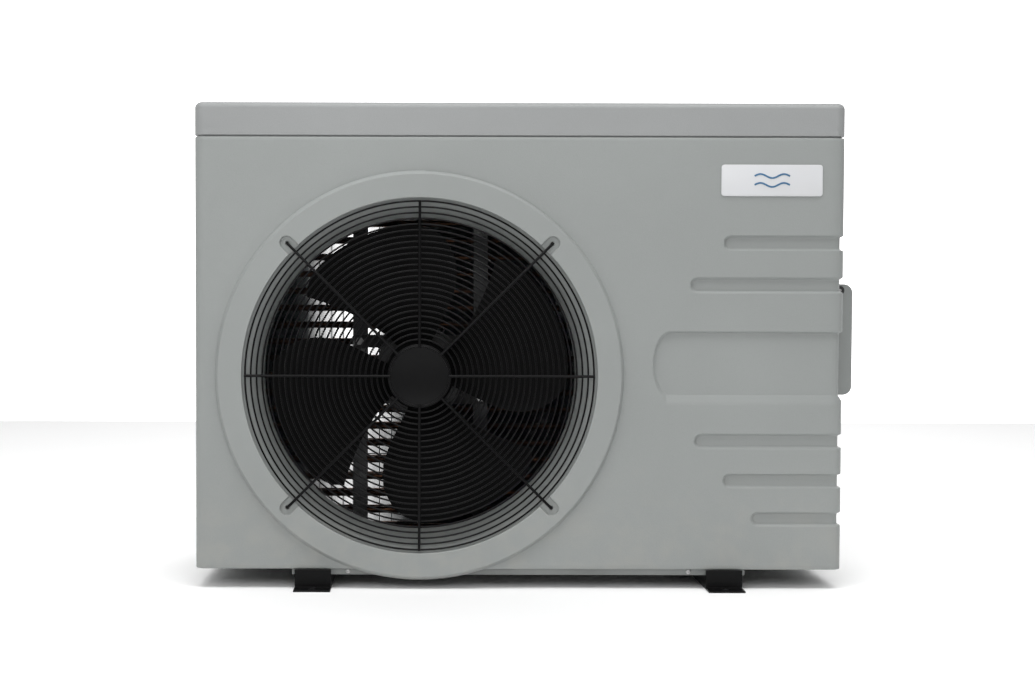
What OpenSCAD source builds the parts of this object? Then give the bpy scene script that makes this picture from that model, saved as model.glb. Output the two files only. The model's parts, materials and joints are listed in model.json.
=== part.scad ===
// Air-source pool heat pump with a front fan, as an assembly of separate pieces.
// Millimetres. +Z is up, the fan side faces -Y, and the origin is on the ground at
// the centre of the four foot bolt holes.

/* [Casing] */
// Width of the cabinet
body_w = 850; // [800:1:1050]
// Depth of the cabinet without its raised fan ring
body_d = 330; // [290:1:420]
// Height from the ground to the top of the lid
body_h = 637; // [610:1:800]
// Radius of the upright corners
corner_r = 13; // [9:0.5:20]
// Thickness of the moulded panels
wall = 3; // [2:0.1:4]
// Height of the lid's skirt
lid_h = 43; // [30:1:60]
// Gap between the lid and the panels
lid_gap = 2.5; // [1:0.1:5]
// Height of the panels' lower edge above the ground
skirt_z = 26; // [24:0.5:40]
// How far the front panel wraps round onto the sides
return_d = 60; // [40:1:90]
// Gap between neighbouring panels
seam = 0.8; // [0.5:0.1:2]

/* [Feet and pan] */
// Height of the foot rails under the pan
foot_h = 18; // [12:0.5:22]
// Width of each foot rail
foot_w = 48; // [36:1:60]
// Distance from each side of the cabinet to its foot's bolt holes
foot_inset = 155; // [145:0.5:185]
// How far the foot bolt holes stand out in front of and behind the cabinet
foot_reach = 17; // [14:0.5:30]
// Diameter of the foot bolt holes
foot_hole_d = 12; // [8:0.5:14]
// Sheet thickness of the pan, feet and brackets
sheet = 1.5; // [1:0.1:2.5]
// Height of the pan's rim
pan_rim = 24; // [20:1:40]

/* [Fan] */
// Distance of the fan's axis from the cabinet's left side
fan_inset = 294.5; // [285:0.5:330]
// Height of the fan's axis above the ground
fan_z = 280; // [276:0.5:300]
// Radius of the throat round the fan
throat_r = 208; // [190:0.5:215]
// Radius of the lip round the guard
lip_r = 232.5; // [226:0.5:240]
// Outer radius of the raised ring
plateau_r = 264.5; // [256:0.5:270]
// How far the raised ring stands out
plateau_h = 7; // [4:0.5:12]
// Clearance between the blade tips and the throat
tip_gap = 8; // [4:0.5:12]
// Number of fan blades
blade_count = 4; // [3:1:6]
// Depth of the blades along the axis
blade_depth = 58; // [40:1:70]
// Angle each blade sweeps through
blade_sweep = 62; // [35:1:75]
// Radius of the fan's hub
hub_r = 46; // [38:0.5:55]
// Diameter of the motor shaft
shaft_d = 12; // [8:0.5:16]

/* [Fan guard] */
// Spacing of the guard's rings
ring_pitch = 7.5; // [6:0.1:10]
// Number of guard rings
ring_count = 26; // [18:1:27]
// Wire thickness of the rings
ring_wire = 2.4; // [1.8:0.1:3]
// Wire thickness of the spokes
spoke_wire = 3.6; // [3:0.1:5]

/* [Coil] */
// Spacing of the coil's tubes
tube_pitch = 25; // [22:0.5:30]
// Diameter of the coil's tubes
tube_d = 9.5; // [7:0.1:12]
// Depth of the fin block
fin_depth = 42; // [38:1:50]

/* [Compressor side] */
// Width of the compressor compartment
dry_w = 298; // [290:1:340]
// Radius of the compressor
compressor_r = 62; // [50:1:64]
// Height of the compressor
compressor_h = 250; // [200:1:280]
// Radius of the water heat exchanger
exchanger_r = 56; // [45:1:58]
// Height of the water heat exchanger
exchanger_h = 360; // [320:1:370]
// Diameter of the pool pipe that the unions take
pool_pipe_d = 50; // [40:0.1:52]
// Depth of the pipe socket in each union
socket_depth = 31; // [25:1:36]
// Height of the water inlet above the ground
inlet_z = 115; // [105:1:140]
// Distance between the water inlet and outlet
water_gap = 230; // [150:1:240]

/* [Controls] */
// Height of the control cover
flap_h = 150; // [130:1:160]
// Length of the control cover from front to back
flap_w = 140; // [120:1:150]
// How far the control cover stands out from the side
flap_out = 27; // [22:0.5:34]
// Height of the control cover's lower edge
flap_z = 252; // [240:1:260]
// Travel of the push buttons
button_travel = 0.8; // [0.5:0.1:1.5]

/* [Fits] */
// Radial clearance of turning and sliding fits
running = 0.05; // [0.02:0.01:0.1]
// Clearance round pieces that pass through panels
clear = 0.5; // [0.3:0.1:1]

/* [Hidden] */
$fn = 48;

half_w = body_w / 2;
half_d = body_d / 2;
lid_z = body_h - lid_h;
panel_top = lid_z - lid_gap;
roof_z = lid_z - 12;
floor_z = foot_h + sheet;
front_y = -half_d;
plateau_y = front_y - plateau_h;
fan_x = -half_w + fan_inset;
inner = wall + clear;
foot_span_x = body_w - 2 * foot_inset;
// The pan's front corners outside the feet are pressed up to the panels' lower edge.
step_in = foot_span_x / 2 + foot_w / 2 + 4;
step_mid = (half_w + step_in) / 2;
step_half = (half_w - step_in) / 2;
step_y = front_y + 50;
drain_r = 8.5;
drain_len = 26;
drain_gap = drain_r + 1 + clear;
drain_x = fan_x + 60;
drain_z = foot_h + 14;
seam_y = front_y + return_d;
// Grooves of the front panel: centre height, height and where each starts, measured
// back from the right side.
grooves = [[454.6, 18, 158], [399.8, 18, 201], [195.3, 17, 194.5], [143, 17, 156.5],
    [92.8, 16, 119]];
groove_depth = 4.5;
recess_z = 295.3;
recess_h = 86;
recess_start = 249;
recess_end_w = 23;

guard_y = plateau_y + 4.5;
notch_w = 18;
notch_r = lip_r + 12.5;
spoke_end_r = lip_r + 12;
lip_step = 6;
bell_d = 42;

fan_y0 = front_y + 30;
fan_y1 = fan_y0 + blade_depth;
motor_y0 = fan_y1 + 18;
motor_r = 62;
motor_len = 84;
rail_x = 86;
rail_y = motor_y0 + motor_len;

part_x = half_w - dry_w;
coil_x0 = -half_w + 30;
coil_x1 = part_x + 14;
coil_y1 = half_d - 18;
coil_y0 = coil_y1 - fin_depth;
coil_y = (coil_y0 + coil_y1) / 2;
row_gap = 22;
row_y = [coil_y - row_gap / 2, coil_y + row_gap / 2];
tube_count = 2 * floor((roof_z - floor_z - 24) / tube_pitch / 2);
tube_z0 = floor_z + 22;
coil_top = tube_z0 + (tube_count - 1) * tube_pitch;
part_y1 = coil_y0 - 6;

comp_x = part_x + 12 + compressor_r + 6;
comp_y = front_y + 125;
comp_z = floor_z + 20;
comp_top = comp_z + compressor_h;
acc_x = part_x + 45;
acc_y = coil_y0 - 40;
acc_r = 29;
acc_z = comp_z + 20;
acc_h = 170;
exch_x = half_w - 95;
exch_y = front_y + 180;
exch_z = floor_z + 18;
outlet_z = inlet_z + water_gap;
valve_x = comp_x + 10;
valve_y = acc_y;
valve_z = comp_top + 62;
pipe_r = 6;
bend_bulge = 0.6;
liquid_r = 4;
drier_x = exch_x - exchanger_r - 26;
drier_y = exch_y + 28;
box_x0 = part_x + sheet;
box_x1 = half_w - 20;
box_y0 = front_y + 12;
box_y1 = box_y0 + 122;
box_z0 = roof_z - 150;
box_z1 = roof_z - 6;

union_x = exch_x;
pipe_in_r = pool_pipe_d / 2;
tail_r = pipe_in_r + 5;
nut_r = tail_r + 15;
flange_y = half_d;
nut_y0 = flange_y + 8;
nut_len = 42;
tail_y0 = nut_y0 + 19;

flap_y0 = seam_y + 12;
flap_y1 = flap_y0 + flap_w;
bezel_t = 1.8;
flap_x = half_w + bezel_t + 0.4;
hinge_r = 8.5;
hinge_x = flap_x + hinge_r;
hinge_z = flap_z + flap_h - hinge_r;
pin_r = 2;
flap_wall = 2.5;
panel_y0 = flap_y0 + 12;
panel_y1 = flap_y1 - 12;
panel_z0 = flap_z + 12;
panel_z1 = flap_z + flap_h - 26;
button_z = panel_z0 + 24;
button_w = 22;
button_h = 14;
button_y = [for (i = [0:3]) panel_y0 + 16 + i * (panel_y1 - panel_y0 - 32) / 3];

// ---- Shapes that repeat ----

// A flat outline in X and Z, made solid from y0 to y1.
module along_y(y0, y1) {
    translate([0, y1, 0]) rotate([90, 0, 0]) linear_extrude(y1 - y0) children();
}

// A flat outline in Y and Z, made solid from x0 to x1.
module along_x(x0, x1) {
    translate([x0, 0, 0]) rotate([90, 0, 90]) linear_extrude(x1 - x0) children();
}

// A block given by its two corners.
module block(low, high) {
    translate(low) cube(high - low);
}

// A round bar from one point to another.
module bar(from, to, r) {
    d = to - from;
    turn = atan2(d[1], d[0]);
    tilt = atan2(norm([d[0], d[1]]), d[2]);
    translate(from) rotate([0, tilt, turn]) cylinder(r = r, h = norm(d));
}

// A round pipe through a list of points, with ball corners.
module pipe_run(points, r) {
    for (i = [0:len(points) - 2]) bar(points[i], points[i + 1], r);
    for (i = [1:len(points) - 2]) translate(points[i]) sphere(r = r + bend_bulge);
}

// A rectangle with round corners, centred.
module round_rect(w, h, r) {
    square([w - 2 * r, h], center = true);
    square([w, h - 2 * r], center = true);
    for (x = [-1, 1], y = [-1, 1]) translate([x * (w / 2 - r), y * (h / 2 - r)]) circle(r);
}

// The cabinet's plan, set in by a distance.
module plan(inset = 0) {
    r = max(corner_r - inset, 2);
    round_rect(body_w - 2 * inset, body_d - 2 * inset, r);
}

// A band of the cabinet's wall between two heights and two insets.
module band(z0, z1, outer, deep) {
    translate([0, 0, z0]) linear_extrude(z1 - z0) difference() {
        plan(outer);
        plan(deep);
    }
}

// Everything between two values of X and two of Y.
module region(x0, x1, y0, y1) {
    block([x0, y0, -10], [x1, y1, body_h + 10]);
}

// A pan-head screw along +Z, with its seat at the origin.
module screw(head_r, head_h, shank_r, length) {
    cylinder(r = head_r, h = head_h);
    translate([0, 0, -length]) cylinder(r = shank_r, h = length + 0.1);
}

// A six-sided nut along +Z.
module hex(across, height) {
    cylinder(r = across / sqrt(3), h = height, $fn = 6);
}

// ---- Casing ----

// One groove's outline on the front, open at the right.
module groove_outline(g, grow = 0) {
    x0 = half_w - g[2];
    h = g[1] / 2 + grow;
    translate([x0 + g[1] / 2, g[0]]) circle(h);
    translate([x0 + g[1] / 2, g[0] - h]) square([half_w, 2 * h]);
}

// The tall recess's outline, with an oval left end.
module recess_outline(grow = 0) {
    h = recess_h / 2 + grow;
    x0 = half_w - recess_start + recess_end_w;
    w = recess_end_w + grow;
    oval = [for (a = [90:9:270]) [x0 + w * cos(a), recess_z + h * sin(a)]];
    polygon(concat(oval, [[2 * half_w, recess_z - h], [2 * half_w, recess_z + h]]));
}

module groove_outlines(grow = 0) {
    for (g = grooves) groove_outline(g, grow);
    recess_outline(grow);
}

// The cut that the grooves leave in the outer skin.
module groove_cut() {
    intersection() {
        difference() {
            translate([0, 0, 30]) linear_extrude(lid_z - 60) plan(-5);
            translate([0, 0, 20]) linear_extrude(lid_z) plan(groove_depth);
        }
        along_y(front_y - 10, half_d) groove_outlines();
    }
}

// The skin behind the grooves.
module groove_back() {
    intersection() {
        band(skirt_z, panel_top, 0, groove_depth + wall);
        along_y(front_y - 10, half_d) groove_outlines(wall);
    }
}

// The raised ring's section, from the soft outer step to the lip and the throat.
module ring_section() {
    y = plateau_h;
    run = lip_r - throat_r;
    angles = [0:11.25:90];
    bell = [for (a = angles) [lip_r - run * sin(a), y - lip_step - bell_d * (1 - cos(a))]];
    back = [for (i = [len(bell) - 1:-1:0]) bell[i] + [wall, -wall]];
    polygon(concat([[plateau_r + 3.5, 0.01], [plateau_r + 1.5, y * 0.35], [plateau_r, y * 0.8],
        [plateau_r - 2, y], [lip_r, y]], bell, [[throat_r, y - lip_step - bell_d - 14],
        [throat_r + wall, y - lip_step - bell_d - 14]], back, [[lip_r + wall, y - wall],
        [plateau_r - wall, y - wall], [plateau_r - wall, -wall], [plateau_r + 3.5, -wall]]));
}

// Places its child in front of the fan, with +Z pointing out of the front.
module on_fan_axis(y) {
    translate([fan_x, y, fan_z]) rotate([90, 0, 0]) children();
}

// One notch's outline along +X: straight sides and a round end.
module notch_outline(w, from_r, to_r) {
    translate([from_r, -w / 2]) square([to_r - from_r, w]);
    translate([to_r, 0]) circle(d = w);
}

module front_panel() {
    color([0.60, 0.62, 0.61]) difference() {
        union() {
            difference() {
                intersection() {
                    union() {
                        band(skirt_z, panel_top, 0, wall);
                        groove_back();
                    }
                    region(-half_w - 1, half_w + 1, front_y - 1, seam_y - seam / 2);
                }
                on_fan_axis(front_y + 5) cylinder(r = plateau_r - wall, h = 20);
            }
            on_fan_axis(front_y) rotate_extrude() ring_section();
            intersection() {
                on_fan_axis(front_y + 2) for (a = [45:90:315]) rotate([0, 0, a])
                    linear_extrude(plateau_h) notch_outline(notch_w + 5, lip_r - 4, notch_r);
                difference() {
                    on_fan_axis(front_y + 10) cylinder(r = plateau_r - 1, h = 20);
                    on_fan_axis(front_y + 10) cylinder(r = lip_r - 0.5, h = 20);
                }
            }
        }
        groove_cut();
        on_fan_axis(front_y - plateau_h + 4.5) for (a = [45:90:315]) rotate([0, 0, a])
            linear_extrude(20) notch_outline(notch_w, lip_r - 12, notch_r);
        on_fan_axis(front_y + 10) for (a = [45:90:315]) rotate([0, 0, a])
            translate([spoke_end_r, 0, 0]) cylinder(d = spoke_wire + 2 * clear, h = 20);
    }
}

module right_panel() {
    color([0.60, 0.62, 0.61]) difference() {
        intersection() {
            union() {
                band(skirt_z, panel_top, 0, wall);
                groove_back();
            }
            region(0, half_w + 1, seam_y + seam / 2, half_d - 40 - seam / 2);
        }
        difference() {
            groove_cut();
            block([0, flap_y0 - 8, recess_z - recess_h], [half_w + 10, half_d, body_h / 2 + 110]);
        }
        block([half_w - 12, panel_y0 - clear, panel_z0 - clear],
            [half_w + 1, panel_y1 + clear, panel_z1 + clear]);
    }
}

// The air slots of the left side.
module left_slots() {
    rows = 16;
    pitch = (panel_top - skirt_z - 110) / (rows - 1);
    for (i = [0:rows - 1], y = [0, 1])
        translate([seam_y + 22 + y * (half_d - 62 - seam_y) / 2, skirt_z + 50 + i * pitch])
            square([(half_d - 62 - seam_y) / 2 - 14, 9]);
}

module left_panel() {
    color([0.62, 0.63, 0.62]) difference() {
        intersection() {
            band(skirt_z, panel_top, 0, wall);
            region(-half_w - 1, -half_w + 40, seam_y + seam / 2, half_d + 1);
        }
        along_x(-half_w - 1, -half_w + 10) left_slots();
    }
}

module rear_panel() {
    color([0.60, 0.61, 0.60]) difference() {
        intersection() {
            band(skirt_z, panel_top, 0, wall);
            region(part_x, half_w + 1, half_d - 40 + seam / 2, half_d + 1);
        }
        for (z = [inlet_z, outlet_z]) translate([union_x, half_d + 1, z]) rotate([90, 0, 0])
            cylinder(r = tail_r + clear, h = 10);
        translate([part_x + 60, half_d + 1, 470]) rotate([90, 0, 0])
            cylinder(r = 10 + clear, h = 10);
        for (i = [0:6]) translate([union_x - 20, 0, box_z0 + 20 + i * 14])
            block([-45, half_d - 10, 0], [45, half_d + 1, 6]);
    }
}

// One corner post of the lid: straight, then rounded over at the top.
module lid_post(r, top_r) {
    translate([0, 0, 0]) cylinder(r = r, h = lid_h - top_r, $fn = 32);
    translate([0, 0, lid_h - top_r]) rotate_extrude($fn = 32) intersection() {
        translate([r - top_r, 0]) circle(top_r, $fn = 32);
        square([r, top_r]);
    }
}

module top_cover() {
    edge_r = 8;
    color([0.65, 0.655, 0.655]) {
        difference() {
            translate([0, 0, lid_z]) hull() for (x = [-1, 1], y = [-1, 1])
                translate([x * (half_w - corner_r), y * (half_d - corner_r), 0])
                    lid_post(corner_r, edge_r);
            translate([0, 0, lid_z - 1]) linear_extrude(lid_h - wall - 5 + 1) plan(wall);
        }
        band(lid_z - 9, lid_z + 6, inner, inner + 2);
        band(lid_z, lid_z + 6, wall - 0.5, inner + 2);
    }
}

module base_pan() {
    color([0.43, 0.44, 0.44]) difference() {
        union() {
            difference() {
                union() {
                    translate([0, 0, foot_h]) linear_extrude(sheet) plan(inner);
                    band(foot_h, foot_h + pan_rim, inner, inner + sheet);
                }
                for (x = [-1, 1]) translate([x * step_mid, 0, 0])
                    block([-step_half, front_y - 1, 0], [step_half, step_y, skirt_z]);
            }
            for (x = [-1, 1]) intersection() {
                translate([0, 0, foot_h]) linear_extrude(pan_rim) plan(inner);
                translate([x * step_mid, 0, 0]) union() {
                    block([-step_half - sheet, front_y, skirt_z],
                        [step_half + sheet, step_y + sheet, skirt_z + sheet]);
                    block([-step_half - sheet, step_y, foot_h],
                        [step_half + sheet, step_y + sheet, skirt_z + sheet]);
                    translate([-x * (step_half + sheet / 2), 0, 0])
                        block([-sheet / 2, front_y, foot_h],
                            [sheet / 2, step_y + sheet, skirt_z + sheet]);
                }
            }
        }
        for (x = [-1, 1], y = [-1, 1]) translate([x * foot_span_x / 2, y * (half_d - 30), 0])
            cylinder(r = 4 + clear, h = foot_h + 10);
        for (x = [-1, 1]) translate([pan_screw_x(x), front_y, foot_h + 4.5]) rotate([90, 0, 0])
            translate([0, 0, -20]) cylinder(r = 2, h = 30);
        translate([drain_x, half_d + 1, drain_z]) rotate([90, 0, 0]) linear_extrude(20) {
            circle(drain_gap);
            translate([-drain_gap, 0]) square([2 * drain_gap, pan_rim]);
        }
    }
}

function pan_screw_x(side) = side * (foot_span_x / 2 - 46);

// ---- Feet and fasteners of the casing ----

// One foot rail: a hat-shaped channel from front to back, with a bolt flange at each end.
module foot() {
    reach = half_d + foot_reach + 10;
    color([0.10, 0.10, 0.11]) difference() {
        union() {
            along_y(-reach, reach) translate([-foot_w / 2, 0]) square([foot_w, 2.5]);
            for (x = [-1, 1]) along_y(-half_d - 4, half_d + 4)
                translate([x * (foot_w / 2 - 1.25) - 1.25, 0]) square([2.5, foot_h]);
            along_y(-half_d - 4, half_d + 4)
                translate([-foot_w / 2, foot_h - 2.5]) square([foot_w, 2.5]);
            for (y = [-1, 1]) translate([0, y * (half_d + 2.75), 0])
                block([-foot_w / 2, -1.25, 0], [foot_w / 2, 1.25, skirt_z - clear]);
        }
        for (y = [-1, 1]) translate([0, y * (half_d + foot_reach), -1])
            cylinder(d = foot_hole_d, h = foot_h);
        for (y = [-1, 1]) translate([0, y * (half_d - 30), -1]) cylinder(r = 4 + clear, h = 50);
    }
}

module foot_left() {
    translate([-foot_span_x / 2, 0, 0]) foot();
}

module foot_right() {
    translate([foot_span_x / 2, 0, 0]) foot();
}

module foot_screws() {
    color([0.7, 0.7, 0.7]) for (x = [-1, 1], y = [-1, 1])
        translate([x * foot_span_x / 2, y * (half_d - 30), 0]) {
            translate([0, 0, floor_z]) hex(13, 5);
            translate([0, 0, 4]) cylinder(r = 4, h = floor_z - 3.9);
            translate([0, 0, foot_h - 2.5 - 5.5]) hex(13, 5.5);
        }
}

module pan_screws() {
    color([0.75, 0.75, 0.76]) for (x = [-1, 1])
        translate([pan_screw_x(x), front_y + inner, foot_h + 4.5]) rotate([90, 0, 0])
            screw(3.2, 2, 2, 8);
}

// The lid's screws on the two sides, and the rear panel's screws.
module casing_screws() {
    color([0.75, 0.75, 0.76]) {
        for (x = [-1, 1], y = [-0.6, 0.6]) translate([x * half_w, y * half_d, lid_z + 10])
            rotate([0, x * 90, 0]) cylinder(r = 3.6, h = 2);
        for (z = [skirt_z + 14, body_h / 2, panel_top - 14], x = [part_x + 10, -half_w + 30])
            translate([x, half_d, z]) rotate([-90, 0, 0]) cylinder(r = 3.6, h = 2);
    }
}

// A plain plate with two short waves.
module badge() {
    w = 132;
    h = 41;
    x = half_w - 97;
    z = lid_z - 58;
    color([0.87, 0.87, 0.88]) {
        along_y(front_y - 1.6, front_y) translate([x, z]) round_rect(w, h, 4);
        for (dz = [-5, 5]) along_y(front_y - 2.1, front_y - 1.5)
            translate([x, z + dz]) wave_outline();
    }
}

module wave_outline() {
    r = 7;
    for (i = [0:2]) translate([(i - 1) * 2 * (r - 0.9), 0]) difference() {
        circle(r);
        circle(r - 1.8);
        translate([-r, i % 2 == 0 ? -2 * r : 0]) square(2 * r);
    }
}

// ---- Fan and guard ----

function ring_r(i) = lip_r - 4.5 - i * ring_pitch;

module fan_guard() {
    disc_r = ring_r(ring_count - 1);
    last_r = ring_r(0);
    color([0.10, 0.10, 0.11]) on_fan_axis(guard_y) {
        rotate_extrude() for (i = [0:ring_count - 1])
            translate([ring_r(i) - ring_wire / 2, 0]) square(ring_wire);
        cylinder(r = disc_r, h = ring_wire);
        for (a = [0:90:270]) rotate([0, 0, a]) translate([disc_r, -spoke_wire / 2, ring_wire / 2])
            cube([last_r - disc_r, spoke_wire, spoke_wire]);
        for (a = [45:90:315]) rotate([0, 0, a]) {
            translate([disc_r, -spoke_wire / 2, ring_wire / 2])
                cube([spoke_end_r + spoke_wire / 2 - disc_r, spoke_wire, spoke_wire]);
            translate([spoke_end_r, 0, ring_wire / 2 + 0.5]) mirror([0, 0, 1])
                cylinder(d = spoke_wire, h = 7.5);
        }
    }
}

module fan() {
    tip_r = throat_r - tip_gap;
    color([0.13, 0.13, 0.14]) on_fan_axis(fan_y1) difference() {
        union() {
            cylinder(r = hub_r, h = blade_depth + 4);
            intersection() {
                linear_extrude(blade_depth, twist = blade_sweep, slices = 14)
                    for (i = [0:blade_count - 1]) rotate([0, 0, i * 360 / blade_count + 45])
                        translate([hub_r - 6, -4.5]) square([tip_r - hub_r + 20, 9]);
                cylinder(r = tip_r, h = blade_depth);
            }
        }
        translate([0, 0, -1]) cylinder(d = shaft_d, h = blade_depth + 10);
        translate([0, 0, -1]) difference() {
            cylinder(r = hub_r - 3, h = blade_depth - 6);
            cylinder(r = shaft_d / 2 + 8, h = blade_depth);
        }
    }
}

module fan_nut() {
    color([0.45, 0.45, 0.46]) on_fan_axis(fan_y0 - 4) difference() {
        union() {
            cylinder(r = shaft_d / 2 + 8, h = 2);
            hex(19, 10);
        }
        translate([0, 0, -1]) cylinder(d = shaft_d, h = 20);
    }
}

module motor_shaft() {
    color([0.7, 0.7, 0.72]) on_fan_axis(motor_y0 + 30)
        cylinder(d = shaft_d, h = motor_y0 + 30 - fan_y0 + 4 + 12);
}

module fan_motor() {
    color([0.18, 0.18, 0.19]) difference() {
        union() {
            on_fan_axis(motor_y0 + motor_len) cylinder(r = motor_r - 4, h = motor_len);
            on_fan_axis(motor_y0 + motor_len - 14) cylinder(r = motor_r, h = motor_len - 34);
            on_fan_axis(motor_y0) cylinder(r = shaft_d / 2 + 7, h = 6);
            for (a = [0:30:330]) on_fan_axis(motor_y0 + motor_len - 16) rotate([0, 0, a])
                translate([motor_r - 2, -1.5, 0]) cube([7, 3, motor_len - 38]);
            along_y(rail_y - 6, rail_y) translate([fan_x, fan_z])
                for (z = [-1, 1]) translate([0, z * 40]) square([2 * rail_x + 14, 18], center = true);
        }
        on_fan_axis(motor_y0 + 31 + clear) cylinder(r = shaft_d / 2 + running, h = 50);
        for (x = [-1, 1], z = [-1, 1]) translate([fan_x + x * rail_x, rail_y + 20, fan_z + z * 40])
            rotate([90, 0, 0]) cylinder(r = 3, h = 40);
    }
}

module motor_bracket() {
    color([0.66, 0.67, 0.68]) difference() {
        union() {
            for (x = [-1, 1]) translate([fan_x + x * rail_x, 0, 0]) {
                block([-10, rail_y, floor_z], [10, rail_y + sheet, roof_z]);
                block([10 - sheet, rail_y, floor_z], [10, rail_y + 14, roof_z]);
                block([-10, rail_y, floor_z], [-10 + sheet, rail_y + 14, roof_z]);
            }
            block([fan_x - rail_x - 20, rail_y, roof_z - sheet],
                [fan_x + rail_x + 20, coil_y0 - 1, roof_z]);
        }
        for (x = [-1, 1], z = [-1, 1]) translate([fan_x + x * rail_x, rail_y + 20, fan_z + z * 40])
            rotate([90, 0, 0]) cylinder(r = 3, h = 40);
    }
}

module motor_bolts() {
    color([0.72, 0.72, 0.73]) for (x = [-1, 1], z = [-1, 1])
        translate([fan_x + x * rail_x, rail_y - 6, fan_z + z * 40]) rotate([90, 0, 0]) {
            hex(10, 4);
            translate([0, 0, -6 - sheet - 6]) cylinder(r = 3, h = 14);
            translate([0, 0, -6 - sheet - 5]) hex(10, 5);
        }
}

// ---- Coil ----

module tube_rows() {
    for (row = [0:1], i = [0:tube_count - 1])
        translate([0, row_y[row], tube_z0 + i * tube_pitch]) children();
}

module evaporator_fins() {
    color([0.55, 0.60, 0.64]) difference() {
        block([coil_x0, coil_y0, tube_z0 - 14], [coil_x1, coil_y1, coil_top + 14]);
        tube_rows() translate([coil_x0 - 1, 0, 0]) rotate([0, 90, 0])
            cylinder(r = tube_d / 2 + running, h = coil_x1 - coil_x0 + 2);
    }
}

// A half-round bend that joins two neighbouring tubes.
module return_bend(x, turn) {
    translate([x, 0, tube_pitch / 2]) rotate([90, 0, 0]) rotate([0, 0, turn])
        rotate_extrude(angle = 180) translate([tube_pitch / 2, 0]) circle(tube_d / 2);
}

module coil_tubes() {
    out = 8;
    color([0.72, 0.45, 0.32]) for (row = [0:1]) translate([0, row_y[row], tube_z0]) {
        for (i = [0:tube_count - 1]) translate([coil_x0 - out, 0, i * tube_pitch])
            rotate([0, 90, 0]) cylinder(r = tube_d / 2, h = coil_x1 - coil_x0 + 2 * out);
        for (i = [0:2:tube_count - 2]) translate([0, 0, i * tube_pitch])
            return_bend(coil_x0 - out, 90);
        for (i = [1:2:tube_count - 3]) translate([0, 0, i * tube_pitch])
            return_bend(coil_x1 + out, -90);
    }
}

module coil_end_plates() {
    color([0.70, 0.71, 0.72]) for (x = [coil_x0 - 1.2, coil_x1]) difference() {
        block([x, coil_y0 - 4, floor_z], [x + 1.2, coil_y1 + 2, coil_top + 14]);
        tube_rows() translate([x - 1, 0, 0]) rotate([0, 90, 0])
            cylinder(r = tube_d / 2 + running, h = 4);
    }
}

// Upright bars with level bars welded behind them, open where the drain spigot passes.
module coil_guard() {
    x0 = -half_w + 40 + seam / 2;
    x1 = part_x - seam / 2;
    edge = 10;
    bar_w = 2.4;
    weld_y = half_d - wall / 2;
    cols = round((x1 - x0 - edge) / 18);
    rows = round((panel_top - skirt_z - edge) / 55);
    step_x = (x1 - x0 - edge) / cols;
    step_z = (panel_top - skirt_z - edge) / rows;
    color([0.12, 0.12, 0.13]) difference() {
        union() {
            for (i = [0:cols]) {
                w = i == 0 || i == cols ? edge : bar_w;
                middle = x0 + edge / 2 + i * step_x;
                block([middle - w / 2, half_d - wall, skirt_z],
                    [middle + w / 2, weld_y, panel_top]);
            }
            for (j = [0:rows]) {
                w = j == 0 || j == rows ? edge : bar_w;
                middle = skirt_z + edge / 2 + j * step_z;
                block([x0, weld_y, middle - w / 2], [x1, half_d, middle + w / 2]);
            }
        }
        block([drain_x - drain_gap, half_d - wall - 1, 0],
            [drain_x + drain_gap, half_d + 1, drain_z + drain_gap]);
    }
}

module partition() {
    color([0.68, 0.69, 0.70]) {
        block([part_x, front_y + inner + sheet + 0.2, floor_z],
            [part_x + sheet, part_y1, roof_z - 1]);
        block([part_x, part_y1 - sheet, floor_z], [coil_x1 + 1.2, part_y1, roof_z - 1]);
    }
}

// ---- Refrigerant circuit ----

module comp_feet() {
    for (a = [90, 210, 330]) rotate([0, 0, a]) translate([compressor_r + 12, 0, 0]) children();
}

module compressor() {
    color([0.12, 0.12, 0.13]) translate([comp_x, comp_y, comp_z]) difference() {
        union() {
            translate([0, 0, 8]) cylinder(r = compressor_r, h = compressor_h - 40);
            translate([0, 0, compressor_h - 32]) rotate_extrude() intersection() {
                translate([0, -compressor_r + 32]) circle(compressor_r + 6);
                square([compressor_r, 24]);
            }
            cylinder(r = compressor_r - 8, h = 20);
            hull() comp_feet() cylinder(r = 13, h = 3, $fn = 32);
            translate([24, 0, compressor_h - 30]) cylinder(r = pipe_r + 2, h = 38);
            translate([-22, 0, compressor_h - 30]) cylinder(r = 16, h = 34);
        }
        comp_feet() translate([0, 0, -1]) cylinder(r = 6.2, h = 10);
    }
}

module compressor_grommets() {
    color([0.08, 0.08, 0.08]) translate([comp_x, comp_y, 0]) comp_feet()
        translate([0, 0, floor_z]) difference() {
            union() {
                cylinder(r = 11, h = comp_z - floor_z);
                cylinder(r = 6.2, h = comp_z - floor_z + 3);
                translate([0, 0, comp_z - floor_z + 3]) cylinder(r = 11, h = 4);
            }
            translate([0, 0, -1]) cylinder(r = 4, h = 50);
        }
}

module compressor_bolts() {
    color([0.72, 0.72, 0.73]) translate([comp_x, comp_y, floor_z]) comp_feet() {
        cylinder(r = 4, h = comp_z - floor_z + 14);
        translate([0, 0, comp_z - floor_z + 7]) hex(13, 5);
    }
}

module terminal_cap() {
    color([0.15, 0.15, 0.16]) translate([comp_x - 22, comp_y, comp_top + 4]) {
        cylinder(r = 18, h = 10);
        translate([0, 0, 10]) cylinder(r = 4, h = 5);
    }
}

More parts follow.
